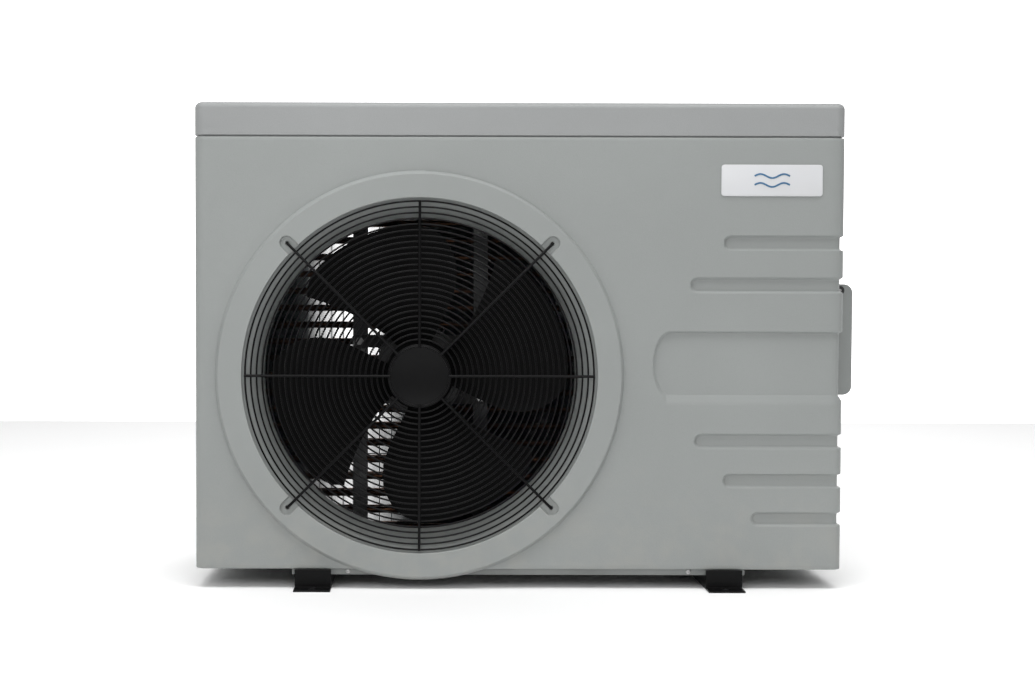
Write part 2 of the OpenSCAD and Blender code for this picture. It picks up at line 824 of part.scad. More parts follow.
module accumulator() {
    color([0.13, 0.13, 0.14]) translate([acc_x, acc_y, acc_z]) {
        cylinder(r = acc_r - 5, h = acc_h);
        translate([0, 0, 8]) cylinder(r = acc_r, h = acc_h - 16);
        translate([0, 0, acc_h - 1]) cylinder(r = pipe_r + 2, h = 9);
        translate([0, 0, -10]) cylinder(r = 9, h = 12);
        translate([0, 0, 24]) rotate([90, 0, 18]) cylinder(r = pipe_r + 1.5, h = acc_r + 4);
        translate([0, 0, floor_z - acc_z]) cylinder(r = 16, h = 2);
        translate([0, 0, floor_z - acc_z]) cylinder(r = 9, h = acc_z - floor_z - 9);
    }
}

valve_ports = [-22, 0, 22];

module four_way_valve() {
    color([0.74, 0.60, 0.36]) translate([valve_x, valve_y, valve_z]) {
        translate([-38, 0, 0]) rotate([0, 90, 0]) cylinder(r = 15, h = 76);
        translate([-42, 0, 0]) rotate([0, 90, 0]) cylinder(r = 12, h = 84);
        for (x = valve_ports) translate([x, 0, -25]) cylinder(r = pipe_r + 1.5, h = 20);
        cylinder(r = pipe_r + 1.5, h = 25);
        translate([-14, -36, -10]) cube([28, 23, 20]);
    }
}

// Refrigerant lines, each a run of straight copper between two stubs.
module discharge_pipe() {
    z = valve_z + 40;
    color([0.72, 0.45, 0.32]) pipe_run([[comp_x + 24, comp_y, comp_top + 8],
        [comp_x + 24, comp_y, z], [valve_x, valve_y, z], [valve_x, valve_y, valve_z + 25]], pipe_r);
}

module suction_pipe() {
    top = acc_z + acc_h + 8;
    side = [sin(18), -cos(18), 0];
    start = [acc_x, acc_y, acc_z + 24] + side * (acc_r + 4);
    shell = compressor_r;
    aim = [comp_x - start[0], comp_y - start[1]];
    way = aim / norm(aim);
    end = [comp_x - way[0] * shell, comp_y - way[1] * shell, start[2]];
    color([0.72, 0.45, 0.32]) {
        pipe_run([[valve_x, valve_y, valve_z - 25], [valve_x, valve_y, valve_z - 50],
            [acc_x, acc_y, valve_z - 50], [acc_x, acc_y, top]], pipe_r);
        bar(start, end, pipe_r);
    }
}

module gas_pipe() {
    x = valve_x + valve_ports[2];
    z = exch_z + exchanger_h - 30;
    color([0.72, 0.45, 0.32]) pipe_run([[x, valve_y, valve_z - 25], [x, valve_y, valve_z - 38],
        [x + 20, exch_y, valve_z - 38], [x + 20, exch_y, z],
        [exch_x - exchanger_r - 6, exch_y, z]], pipe_r);
}

module coil_pipe() {
    x = valve_x + valve_ports[0];
    header_x = coil_x1 + 40;
    color([0.72, 0.45, 0.32]) {
        pipe_run([[x, valve_y, valve_z - 25], [x, valve_y, valve_z - 36],
            [header_x, row_y[0] - 12, valve_z - 36], [header_x, row_y[0], coil_top],
            [coil_x1 + 8, row_y[0], coil_top]], pipe_r - 2);
        pipe_run([[header_x, row_y[0], coil_top], [header_x, row_y[1], coil_top],
            [coil_x1 + 8, row_y[1], coil_top]], pipe_r - 2);
    }
}

module liquid_pipe() {
    z = exch_z + 50;
    header_x = coil_x1 + 40;
    ev = expansion_at();
    turn_x = ev[0] - 30;
    color([0.72, 0.45, 0.32]) {
        pipe_run([[exch_x - exchanger_r - 6, exch_y, z], [drier_x, exch_y, z],
            [drier_x, drier_y, z], [drier_x, drier_y, z + 24]], liquid_r);
        pipe_run([[drier_x, drier_y, z + 120], [drier_x, drier_y, ev[2]],
            [drier_x, ev[1], ev[2]], [ev[0] + 16, ev[1], ev[2]]], liquid_r);
        pipe_run([[ev[0] - 16, ev[1], ev[2]], [turn_x, ev[1], ev[2]],
            [turn_x, ev[1], tube_z0], [turn_x, row_y[0], tube_z0],
            [header_x - 6, row_y[0], tube_z0], [header_x - 6, row_y[1], tube_z0],
            [coil_x1 + 8, row_y[1], tube_z0]], liquid_r);
    }
}

function expansion_at() = [drier_x - 24, drier_y + 52, exch_z + 190];

module filter_drier() {
    color([0.74, 0.60, 0.36]) translate([drier_x, drier_y, exch_z + 74]) {
        translate([0, 0, 8]) cylinder(r = 14, h = 80);
        cylinder(r = liquid_r + 2, h = 96);
        translate([0, 0, 5]) cylinder(r = 10, h = 86);
    }
}

module expansion_valve() {
    ev = expansion_at();
    color([0.74, 0.60, 0.36]) translate(ev) {
        translate([-16, 0, 0]) rotate([0, 90, 0]) cylinder(r = liquid_r + 2, h = 32);
        translate([0, 0, -8]) cylinder(r = 9, h = 22);
        translate([0, 0, 14]) cylinder(r = 15, h = 26);
    }
}

// ---- Water circuit ----

module heat_exchanger() {
    cap_r = exchanger_r;
    color([0.82, 0.83, 0.83]) translate([exch_x, exch_y, exch_z]) {
        cylinder(r = cap_r - 6, h = exchanger_h);
        translate([0, 0, 8]) cylinder(r = cap_r, h = exchanger_h - 16);
        for (z = [50, exchanger_h - 30]) translate([0, 0, z]) rotate([0, -90, 0])
            cylinder(r = pipe_r + 2, h = exchanger_r + 6);
    }
    color([0.82, 0.83, 0.83]) for (z = [inlet_z, outlet_z]) translate([exch_x, exch_y, z])
        rotate([-90, 0, 0]) cylinder(r = tail_r - 1, h = exchanger_r + 6);
    color([0.82, 0.83, 0.83]) translate([exch_x, exch_y, floor_z])
        cylinder(r = cap_r - 14, h = exch_z - floor_z + 1);
}

module exchanger_straps() {
    r = exchanger_r + clear;
    color([0.70, 0.71, 0.72]) for (z = [exch_z + 14, exch_z + 190]) difference() {
        union() {
            translate([exch_x, exch_y, z]) cylinder(r = r + 1.5, h = 20);
            block([exch_x - 12, exch_y + r - 2, z], [exch_x + 12, half_d - wall, z + 20]);
        }
        translate([exch_x, exch_y, z - 1]) cylinder(r = r, h = 22);
    }
}

// A water pipe from the heat exchanger through the rear panel to a threaded end.
module water_pipe(z) {
    y0 = exch_y + exchanger_r + 6;
    difference() {
        translate([union_x, 0, z]) rotate([-90, 0, 0]) union() {
            translate([0, 0, y0]) cylinder(r = tail_r, h = tail_y0 - 2 - y0);
            translate([0, 0, flange_y]) cylinder(r = nut_r + 3, h = 4);
            translate([0, 0, flange_y]) cylinder(r = tail_r + 5, h = 8);
            translate([0, 0, nut_y0 + 1]) cylinder(r = tail_r + 6 - running, h = tail_y0 - nut_y0 - 3);
            translate([0, 0, flange_y - wall - 6]) cylinder(r = tail_r + 6, h = 6);
        }
        translate([union_x, y0 - 1, z]) rotate([-90, 0, 0])
            cylinder(r = pipe_in_r, h = tail_y0 - y0 + 2);
    }
}

module water_pipe_inlet() {
    color([0.10, 0.10, 0.11]) difference() {
        water_pipe(inlet_z);
        translate([union_x, half_d - 40, inlet_z]) cylinder(r = 10, h = tail_r + 10);
    }
}

module water_pipe_outlet() {
    color([0.10, 0.10, 0.11]) water_pipe(outlet_z);
}

module union_seals() {
    color([0.06, 0.06, 0.06]) for (z = [inlet_z, outlet_z])
        translate([union_x, tail_y0 - 2, z]) rotate([-90, 0, 0]) difference() {
            cylinder(r = tail_r - 0.5, h = 2);
            translate([0, 0, -1]) cylinder(r = pipe_in_r + 0.5, h = 4);
        }
}

// The tail that the pool pipe is glued into.
module union_tail(z) {
    stop = 3;
    translate([union_x, 0, z]) rotate([-90, 0, 0]) difference() {
        union() {
            translate([0, 0, tail_y0]) cylinder(r = tail_r + 4, h = 6);
            translate([0, 0, tail_y0]) cylinder(r = tail_r, h = stop + 10 + socket_depth);
        }
        translate([0, 0, tail_y0 - 1]) cylinder(r = pipe_in_r - 2, h = 50);
        translate([0, 0, tail_y0 + stop + 10]) cylinder(r = pipe_in_r + 0.1, h = socket_depth + 1);
    }
}

module union_tail_inlet() {
    color([0.10, 0.10, 0.11]) union_tail(inlet_z);
}

module union_tail_outlet() {
    color([0.10, 0.10, 0.11]) union_tail(outlet_z);
}

// The ribbed nut that draws the tail against the seal.
module union_nut(z) {
    ribs = 12;
    end_y = tail_y0 + 6 + 0.2;
    translate([union_x, 0, z]) rotate([-90, 0, 0]) difference() {
        union() {
            translate([0, 0, nut_y0 + 0.4]) cylinder(r = nut_r - 3, h = end_y + 5 - nut_y0 - 0.4);
            for (i = [0:ribs - 1]) rotate([0, 0, i * 360 / ribs])
                translate([nut_r - 5, -3.5, nut_y0 + 0.4]) cube([5, 7, end_y + 1 - nut_y0]);
        }
        translate([0, 0, nut_y0 - 1]) cylinder(r = tail_r + 6, h = end_y - nut_y0 + 1);
        translate([0, 0, nut_y0]) cylinder(r = tail_r + running, h = 60);
    }
}

module union_nut_inlet() {
    color([0.11, 0.11, 0.12]) union_nut(inlet_z);
}

module union_nut_outlet() {
    color([0.11, 0.11, 0.12]) union_nut(outlet_z);
}

module flow_switch() {
    color([0.80, 0.80, 0.78]) translate([union_x, half_d - 40, inlet_z]) {
        translate([0, 0, pipe_in_r - 6]) cylinder(r = 9.8, h = 26);
        translate([0, 0, pipe_in_r + 20]) hex(27, 10);
        translate([-14, -12, pipe_in_r + 30]) cube([28, 24, 30]);
    }
}

module drain_spigot() {
    back = half_d - inner - sheet - 2;
    color([0.10, 0.10, 0.11]) translate([drain_x, back, drain_z]) rotate([-90, 0, 0])
        difference() {
            union() {
                cylinder(r = drain_r + 3.5, h = 2);
                cylinder(r = drain_r + 1, h = half_d + 1 - back);
                cylinder(r = drain_r, h = half_d + 1 + drain_len - back);
            }
            translate([0, 0, -1]) cylinder(r = drain_r - 2.5, h = 60);
        }
}

// ---- Electrical parts ----

module electrical_box() {
    color([0.70, 0.71, 0.72]) difference() {
        block([box_x0, box_y0, box_z0], [box_x1, box_y1, box_z1]);
        block([box_x0 + sheet, box_y0 + sheet, box_z0 + sheet],
            [box_x1 - sheet, box_y1 - sheet, box_z1 + 1]);
    }
}

module circuit_board() {
    x0 = box_x0 + 20;
    y0 = box_y0 + 12;
    z = box_z0 + sheet;
    color([0.10, 0.35, 0.20]) {
        block([x0, y0, z + 8], [x0 + 140, y0 + 96, z + 9.6]);
        for (x = [6, 134], y = [6, 90]) translate([x0 + x, y0 + y, z]) cylinder(r = 3, h = 8.2);
        translate([x0 + 18, y0 + 16, z + 9.5]) cube([44, 34, 26]);
        for (i = [0:4]) translate([x0 + 76 + i * 11, y0 + 14, z + 9.5]) cube([8, 16, 14]);
        translate([x0 + 24, y0 + 66, z + 9.5]) cube([90, 10, 12]);
    }
}

// The start capacitor, the contactor and the row of mains terminals.
module power_parts() {
    z = box_z0 + sheet;
    x0 = box_x1 - 100;
    color([0.16, 0.16, 0.18]) {
        translate([x0 + 14, box_y0 + 30, z]) cylinder(r = 20, h = 74);
        translate([x0 + 44, box_y0 + 12, z]) cube([46, 56, 60]);
        for (i = [0:4]) translate([x0 + 4 + i * 17, box_y0 + 84, z]) {
            cube([15, 26, 16]);
            translate([7.5, 7, 15.9]) cylinder(r = 3.4, h = 2.5);
            translate([7.5, 19, 15.9]) cylinder(r = 3.4, h = 2.5);
        }
    }
}

module cable_gland() {
    color([0.09, 0.09, 0.10]) translate([part_x + 60, half_d, 470]) rotate([-90, 0, 0])
        difference() {
            union() {
                hex(27, 6);
                translate([0, 0, 5.9]) cylinder(r = 11.5, h = 16);
                translate([0, 0, -14]) cylinder(r = 10, h = 14.1);
                translate([0, 0, -wall - 6]) hex(27, 6);
            }
            translate([0, 0, -20]) cylinder(r = 6, h = 60);
        }
}

// ---- Controls on the right side ----

module control_panel() {
    x = half_w - 8;
    color([0.15, 0.15, 0.16]) difference() {
        union() {
            block([x, panel_y0, panel_z0], [half_w - 3, panel_y1, panel_z1]);
            difference() {
                block([half_w, flap_y0 - 6, panel_z0 - 5],
                    [half_w + bezel_t, flap_y1 + 6, hinge_z + 6]);
                block([half_w - 1, panel_y0 + 2, panel_z0 + 2],
                    [flap_x + 1, panel_y1 - 2, panel_z1 - 2]);
            }
            difference() {
                block([x, panel_y0, panel_z0], [half_w + 1, panel_y1, panel_z1]);
                block([x - 1, panel_y0 + 2, panel_z0 + 2],
                    [half_w + 2, panel_y1 - 2, panel_z1 - 2]);
            }
            for (side = [0, 1]) hinge_lug(side);
        }
        for (y = button_y) translate([0, y, button_z])
            block([x - 1, -button_w / 2 - clear / 2, -button_h / 2 - clear / 2],
                [half_w + 1, button_w / 2 + clear / 2, button_h / 2 + clear / 2]);
        display_space(clear / 2);
        translate([hinge_x, flap_y1 + 20, hinge_z]) rotate([90, 0, 0])
            cylinder(r = pin_r, h = flap_w + 40);
    }
}

// An ear that holds one end of the hinge pin, outside the cover.
module hinge_lug(side) {
    lug_w = 5;
    y0 = side == 0 ? flap_y0 - 0.4 - lug_w : flap_y1 + 0.4;
    along_y(y0, y0 + lug_w) {
        translate([hinge_x, hinge_z]) circle(6);
        translate([half_w, hinge_z - 6]) square([hinge_x - half_w, 12]);
    }
}

module display_space(grow = 0) {
    z0 = button_z + button_h / 2 + 14;
    block([half_w - 9, panel_y0 + 22 - grow, z0 - grow],
        [half_w - 2, panel_y1 - 22 + grow, panel_z1 - 12 + grow]);
}

module display_window() {
    z0 = button_z + button_h / 2 + 14;
    color([0.10, 0.16, 0.20]) block([half_w - 7, panel_y0 + 22, z0],
        [half_w - 2.2, panel_y1 - 22, panel_z1 - 12]);
}

// The cover's outline across its hinge, round at the hinge and at its outer corners.
module flap_outline(inset) {
    x0 = flap_x;
    x1 = flap_x + flap_out;
    z0 = flap_z;
    z1 = flap_z + flap_h;
    big = 12;
    translate([hinge_x, hinge_z]) circle(hinge_r - inset);
    translate([x1 - big, z1 - big]) circle(big - inset);
    translate([x1 - big, z0 + big]) circle(big - inset);
    translate([hinge_x, z0 + inset]) square([x1 - big - hinge_x, z1 - z0 - 2 * inset]);
    translate([x0 + inset, z0 + inset]) square([x1 - big - x0 - inset, hinge_z - z0 - inset]);
    translate([hinge_x, z0 + big]) square([x1 - hinge_x - inset, z1 - z0 - 2 * big]);
}

module control_flap() {
    color([0.60, 0.62, 0.61]) difference() {
        along_y(flap_y0, flap_y1) flap_outline(0);
        along_y(flap_y0 + flap_wall, flap_y1 - flap_wall) intersection() {
            flap_outline(flap_wall);
            translate([flap_x, flap_z]) square([flap_out, flap_h - hinge_r - 2]);
        }
        along_y(flap_y0 + flap_wall, flap_y1 - flap_wall)
            translate([flap_x - 1, flap_z + flap_wall])
                square([flap_out - flap_wall - 11, flap_h - hinge_r - 14]);
        translate([hinge_x, flap_y1 + 5, hinge_z]) rotate([90, 0, 0])
            cylinder(r = pin_r + running, h = flap_w + 10);
    }
}

module hinge_pin() {
    color([0.72, 0.72, 0.73]) translate([hinge_x, flap_y1 + 6, hinge_z]) rotate([90, 0, 0])
        cylinder(r = pin_r, h = flap_w + 12);
}

// One push button with a lip that keeps it behind the panel.
module button(i) {
    translate([0, button_y[i], button_z]) {
        block([half_w - 10, -button_w / 2, -button_h / 2], [half_w - 1, button_w / 2, button_h / 2]);
        block([half_w - 13, -button_w / 2 - 2, -button_h / 2 - 2],
            [half_w - 8 - 0.1, button_w / 2 + 2, button_h / 2 + 2]);
    }
}

module button_power() {
    color([0.70, 0.20, 0.16]) button(0);
}

module button_mode() {
    color([0.75, 0.76, 0.76]) button(1);
}

module button_up() {
    color([0.75, 0.76, 0.76]) button(2);
}

module button_down() {
    color([0.75, 0.76, 0.76]) button(3);
}

front_panel();
right_panel();
left_panel();
rear_panel();
top_cover();
base_pan();
coil_guard();
foot_left();
foot_right();
foot_screws();
pan_screws();
casing_screws();
badge();
fan_guard();
fan();
fan_nut();
motor_shaft();
fan_motor();
motor_bracket();
motor_bolts();
evaporator_fins();
coil_tubes();
coil_end_plates();
partition();
compressor();
compressor_grommets();
compressor_bolts();
terminal_cap();
accumulator();
four_way_valve();
discharge_pipe();
suction_pipe();
gas_pipe();
coil_pipe();
liquid_pipe();
filter_drier();
expansion_valve();
heat_exchanger();
exchanger_straps();
water_pipe_inlet();
water_pipe_outlet();
union_seals();
union_tail_inlet();
union_tail_outlet();
union_nut_inlet();
union_nut_outlet();
flow_switch();
electrical_box();
circuit_board();
power_parts();
cable_gland();
drain_spigot();
control_panel();
display_window();
control_flap();
hinge_pin();
button_power();
button_mode();
button_up();
button_down();
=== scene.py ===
"""Looks of a pool heat pump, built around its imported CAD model."""

import json
import math

import bmesh
import bpy
from mathutils import Matrix, Vector

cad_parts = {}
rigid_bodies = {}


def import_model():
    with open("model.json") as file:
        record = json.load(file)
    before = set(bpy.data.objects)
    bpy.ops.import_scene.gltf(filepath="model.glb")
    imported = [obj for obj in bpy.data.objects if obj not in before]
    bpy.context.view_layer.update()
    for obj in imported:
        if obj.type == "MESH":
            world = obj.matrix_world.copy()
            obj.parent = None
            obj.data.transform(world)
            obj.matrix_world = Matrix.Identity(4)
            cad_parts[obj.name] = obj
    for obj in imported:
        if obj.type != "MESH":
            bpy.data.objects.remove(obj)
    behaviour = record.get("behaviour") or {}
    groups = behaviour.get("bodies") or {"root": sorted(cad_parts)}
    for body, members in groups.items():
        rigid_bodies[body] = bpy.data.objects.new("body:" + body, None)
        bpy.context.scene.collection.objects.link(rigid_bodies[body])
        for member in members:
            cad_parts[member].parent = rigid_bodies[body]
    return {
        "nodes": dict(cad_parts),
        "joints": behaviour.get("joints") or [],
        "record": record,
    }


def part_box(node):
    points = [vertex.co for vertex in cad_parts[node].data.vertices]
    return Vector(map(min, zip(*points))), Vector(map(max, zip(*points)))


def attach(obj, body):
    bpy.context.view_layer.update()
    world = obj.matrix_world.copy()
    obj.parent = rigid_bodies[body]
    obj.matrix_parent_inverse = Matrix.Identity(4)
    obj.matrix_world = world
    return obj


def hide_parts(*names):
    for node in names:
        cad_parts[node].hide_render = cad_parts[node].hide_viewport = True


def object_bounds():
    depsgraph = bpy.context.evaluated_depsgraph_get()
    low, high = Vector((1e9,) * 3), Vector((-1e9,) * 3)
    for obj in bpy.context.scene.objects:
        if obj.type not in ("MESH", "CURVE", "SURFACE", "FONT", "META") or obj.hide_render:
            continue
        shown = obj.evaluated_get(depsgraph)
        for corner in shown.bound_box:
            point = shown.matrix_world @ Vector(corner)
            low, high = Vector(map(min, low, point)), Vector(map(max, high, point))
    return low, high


bl_info = {
    "name": "Pool heat pump",
    "version": (1, 0, 0),
    "blender": (4, 5, 0),
    "location": "3D View > Sidebar > Heat Pump",
    "description": "Builds the visible pieces, finishes and studio of a pool heat pump",
    "category": "Object",
}

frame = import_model()
CAD_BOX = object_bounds()
NODES = frame["nodes"]
RECORD = frame["record"]


# ---- Places taken from the frame ----

def joint_place(name):
    """Where a joint's axis passes."""
    for joint in frame["joints"]:
        if joint["name"] == name:
            return Vector(joint["pos_m"])
    raise KeyError(name)


FAN_AXIS = joint_place("fan_spin")
GUARD_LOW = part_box("fan_guard")[0]
FAN_LOW, FAN_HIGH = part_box("fan")
FINS_LOW, FINS_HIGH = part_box("evaporator_fins")
NET_LOW, NET_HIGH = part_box("coil_guard")
FRONT_TOP_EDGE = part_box("front_panel")[1].z
BADGE_LOW, BADGE_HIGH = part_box("badge")
FRONT_FACE = BADGE_HIGH.y
FRONT_LOW_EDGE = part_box("right_panel")[0].z
WINDOW_LOW, WINDOW_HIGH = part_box("display_window")


# ---- Shader expressions ----

class Value:
    """A number socket that takes part in ordinary arithmetic."""

    def __init__(self, board, socket):
        self.board = board
        self.socket = socket

    def _math(self, operation, first, second):
        node = self.board.add("ShaderNodeMath", {"operation": operation}, {0: first, 1: second})
        return Value(self.board, node.outputs[0])

    def __add__(self, other):
        return self._math("ADD", self, other)

    def __radd__(self, other):
        return self._math("ADD", other, self)

    def __sub__(self, other):
        return self._math("SUBTRACT", self, other)

    def __rsub__(self, other):
        return self._math("SUBTRACT", other, self)

    def __mul__(self, other):
        return self._math("MULTIPLY", self, other)

    def __rmul__(self, other):
        return self._math("MULTIPLY", other, self)

    def __truediv__(self, other):
        return self._math("DIVIDE", self, other)

    def __rtruediv__(self, other):
        return self._math("DIVIDE", other, self)


class Board:
    """Writes nodes into one node tree."""

    def __init__(self, tree):
        self.tree = tree

    def feed(self, socket, value):
        if isinstance(value, Value):
            value = value.socket
        if isinstance(value, bpy.types.NodeSocket):
            self.tree.links.new(value, socket)
        else:
            socket.default_value = value

    def add(self, kind, settings=None, inputs=None):
        node = self.tree.nodes.new(kind)
        for key, value in (settings or {}).items():
            setattr(node, key, value)
        for key, value in (inputs or {}).items():
            self.feed(node.inputs[key], value)
        return node


class Finish(Board):
    """One procedural material on Object coordinates."""

    def __init__(self, name):
        self.material = bpy.data.materials.new(name)
        self.material.use_nodes = True
        super().__init__(self.material.node_tree)
        self.shader = self.tree.nodes["Principled BSDF"]
        self.place = self.add("ShaderNodeTexCoord").outputs["Object"]

    def stretched(self, x, y, z):
        """Object coordinates scaled by axis."""
        node = self.add("ShaderNodeMapping", {}, {"Vector": self.place, "Scale": (x, y, z)})
        return node.outputs[0]

    def noise(self, scale, detail=2.0, rough=0.5, where=None):
        node = self.add("ShaderNodeTexNoise", {}, {"Vector": where or self.place,
            "Scale": scale, "Detail": detail, "Roughness": rough})
        return Value(self, node.outputs[0])

    def cells(self, scale, output="Distance", where=None):
        node = self.add("ShaderNodeTexVoronoi", {}, {"Vector": where or self.place,
            "Scale": scale})
        return Value(self, node.outputs[output])

    def ramp(self, value, low, high):
        """0 below low, 1 above high, smooth between."""
        node = self.add("ShaderNodeMapRange", {"interpolation_type": "SMOOTHSTEP"},
            {"Value": value, "From Min": low, "From Max": high})
        return Value(self, node.outputs[0])

    def height(self):
        node = self.add("ShaderNodeSeparateXYZ", {}, {0: self.place})
        return Value(self, node.outputs["Z"])

    def blend(self, factor, first, second):
        node = self.add("ShaderNodeMix", {"data_type": "RGBA"}, {0: factor})
        colours = [s for s in node.inputs if s.type == "RGBA"]
        for socket, value in zip(colours, (first, second)):
            self.feed(socket, value)
        return [s for s in node.outputs if s.type == "RGBA"][0]

    def bump(self, height, distance, strength=1.0):
        node = self.add("ShaderNodeBump", {}, {"Height": height, "Distance": distance,
            "Strength": strength})
        self.feed(self.shader.inputs["Normal"], node.outputs[0])

    def set(self, **values):
        for key, value in values.items():
            self.feed(self.shader.inputs[key.replace("_", " ")], value)


def shade(colour, factor):
    """A colour made lighter or darker, with its alpha."""
    return tuple(min(1.0, c * factor) for c in colour[:3]) + (1.0,)


# ---- Finishes ----

def moulded_shell(name, colour, grain):
    """Painted casing: fine leather-like grain, faint clouding and dust low down."""
    f = Finish(name)
    clouds = f.noise(3.0, 3.0)
    dust = (1.0 - f.ramp(f.height(), 0.02, 0.20)) * f.ramp(f.noise(40.0, 4.0), 0.35, 0.75)
    tone = f.blend(f.ramp(clouds, 0.3, 0.7), shade(colour, 0.965), shade(colour, 1.035))
    speck = f.ramp(f.noise(1500.0, 1.0), 0.60, 0.78)
    tone = f.blend(speck * 0.22, tone, shade(colour, 1.35))
    dark = f.ramp(1.0 - f.noise(1100.0, 1.0), 0.60, 0.78)
    tone = f.blend(dark * 0.22, tone, shade(colour, 0.72))
    tone = f.blend(dust * 0.16, tone, (0.42, 0.39, 0.34, 1.0))
    texture = f.noise(grain, 2.0, 0.6)
    f.set(Base_Color=tone, Roughness=0.44 + 0.14 * f.noise(700.0, 1.0) + 0.12 * dust)
    f.set(IOR=1.47)
    f.bump(texture, 0.00035, 0.55)
    return f.material


def powder_coat(name, colour, rough=0.36, peel=420.0, shine=0.5):
    """Baked coating on steel with slight orange peel and rubbed spots."""
    f = Finish(name)
    rub = f.ramp(f.noise(55.0, 5.0, 0.65), 0.62, 0.80)
    tone = f.blend(f.ramp(f.noise(9.0, 3.0), 0.3, 0.7), shade(colour, 0.85), shade(colour, 1.18))
    tone = f.blend(rub * 0.35, tone, shade(colour, 2.4))
    f.set(Base_Color=tone, Roughness=rough + 0.16 * rub + 0.08 * f.noise(300.0, 1.0))
    f.set(Coat_Weight=0.15 * shine, Coat_Roughness=0.3, Specular_IOR_Level=shine)
    f.bump(f.noise(peel, 2.0), 0.0002, 0.5)
    return f.material


def plated(name, colour, rough=0.30):
    """Zinc-plated screws and pins: brushed turning marks and dull patches."""
    f = Finish(name)
    patch = f.ramp(f.noise(180.0, 4.0), 0.45, 0.7)
    tone = f.blend(patch, shade(colour, 0.82), shade(colour, 1.08))
    f.set(Base_Color=tone, Metallic=1.0, Roughness=rough + 0.22 * patch)
    f.bump(f.noise(2600.0, 2.0), 0.00005, 0.6)
    return f.material


def galvanised(name, colour):
    """Hot-dip sheet with spangle crystals and white bloom."""
    f = Finish(name)
    spangle = f.cells(95.0, "Color")
    bloom = f.ramp(f.noise(24.0, 4.0), 0.55, 0.8)
    tone = f.blend(spangle, shade(colour, 0.72), shade(colour, 1.15))
    tone = f.blend(bloom * 0.5, tone, (0.62, 0.63, 0.62, 1.0))
    f.set(Base_Color=tone, Metallic=0.9 - 0.5 * bloom, Roughness=0.34 + 0.22 * spangle)
    f.bump(f.noise(240.0, 3.0), 0.0001, 0.4)
    return f.material


def drawn_metal(name, colour, tarnish, rough=0.28):
    """Copper or brass: tarnished patches over fine drawing lines."""
    f = Finish(name)
    age = f.ramp(f.noise(35.0, 5.0, 0.6), 0.40, 0.68)
    tone = f.blend(age * 0.7, shade(colour, 1.05), tarnish)
    f.set(Base_Color=tone, Metallic=1.0 - 0.35 * age, Roughness=rough + 0.25 * age)
    f.bump(f.noise(900.0, 2.0, where=f.stretched(0.1, 1.0, 1.0)), 0.00005, 0.6)
    return f.material


def fin_foil(name, colour):
    """Coated foil fins: fine lance marks and water streaks down them."""
    f = Finish(name)
    streak = f.ramp(f.noise(70.0, 4.0, where=f.stretched(1.0, 1.0, 0.08)), 0.45, 0.75)
    tone = f.blend(streak * 0.5, shade(colour, 1.0), shade(colour, 0.7))
    f.set(Base_Color=tone, Metallic=0.6, Roughness=0.38 + 0.2 * streak)
    f.bump(f.noise(700.0, 1.0, where=f.stretched(1.0, 1.0, 0.2)), 0.0001, 0.4)
    return f.material


def moulded_black(name, colour, rough=0.46, grain=900.0, shine=0.5):
    """Moulded black polymer with flow clouding and light scuffs."""
    f = Finish(name)
    scuff = f.ramp(f.noise(120.0, 5.0, 0.7, f.stretched(1.0, 0.25, 1.0)), 0.62, 0.8)
    tone = f.blend(f.ramp(f.noise(14.0, 3.0), 0.3, 0.7), shade(colour, 0.8), shade(colour, 1.35))
    tone = f.blend(scuff * 0.3, tone, shade(colour, 3.0))
    f.set(Base_Color=tone, Roughness=rough + 0.15 * scuff + 0.06 * f.noise(400.0, 1.0))
    f.set(Specular_IOR_Level=shine)
    f.bump(f.noise(grain, 2.0), 0.00015, 0.45)
    return f.material


def soft_rubber(name, colour):
    """Matt rubber with bloom."""
    f = Finish(name)
    bloom = f.ramp(f.noise(60.0, 4.0), 0.5, 0.8)
    tone = f.blend(bloom * 0.4, shade(colour, 1.0), (0.07, 0.07, 0.068, 1.0))
    f.set(Base_Color=tone, Roughness=0.75 + 0.15 * bloom)
    f.bump(f.noise(800.0, 3.0), 0.0001, 0.5)
    return f.material


def white_moulding(name, colour, gloss=0.32):
    """Light glossy moulding with faint yellowing and fine grain."""
    f = Finish(name)
    age = f.ramp(f.noise(11.0, 3.0), 0.35, 0.75)
    warm = (colour[0], colour[1] * 0.985, colour[2] * 0.955, 1.0)
    tone = f.blend(age * 0.6, shade(colour, 1.03), warm)
    f.set(Base_Color=tone, Roughness=gloss + 0.10 * f.noise(500.0, 2.0))
    f.bump(f.noise(1300.0, 1.0), 0.00008, 0.4)
    return f.material


def circuit_lacquer(name, colour):
    """Lacquered board with tracks and pads."""
    f = Finish(name)
    track = f.ramp(f.cells(160.0, "Distance"), 0.55, 0.62)
    tone = f.blend(track * 0.6, shade(colour, 1.0), shade(colour, 1.9))
    f.set(Base_Color=tone, Roughness=0.3 + 0.2 * track)
    f.bump(track, 0.0001, 0.5)
    return f.material


def dark_glass(name, colour):
    """Display glass with a faint smear."""
    f = Finish(name)
    smear = f.ramp(f.noise(45.0, 4.0, where=f.stretched(1.0, 1.0, 0.4)), 0.45, 0.8)
    tone = f.blend(smear, shade(colour, 0.25), shade(colour, 0.4))
    f.set(Base_Color=tone, Roughness=0.06 + 0.14 * smear, Coat_Weight=0.5)
    f.bump(f.noise(30.0, 1.0), 0.00002, 0.2)
    return f.material


def lit_segment(name):
    """Glowing display digits, uneven as real segments are."""
    f = Finish(name)
    glow = f.noise(900.0, 1.0)
    tone = f.blend(glow, (0.25, 0.75, 0.95, 1.0), (0.55, 0.92, 1.0, 1.0))
    f.set(Base_Color=tone, Emission_Color=tone, Emission_Strength=1.6, Roughness=0.4)
    return f.material


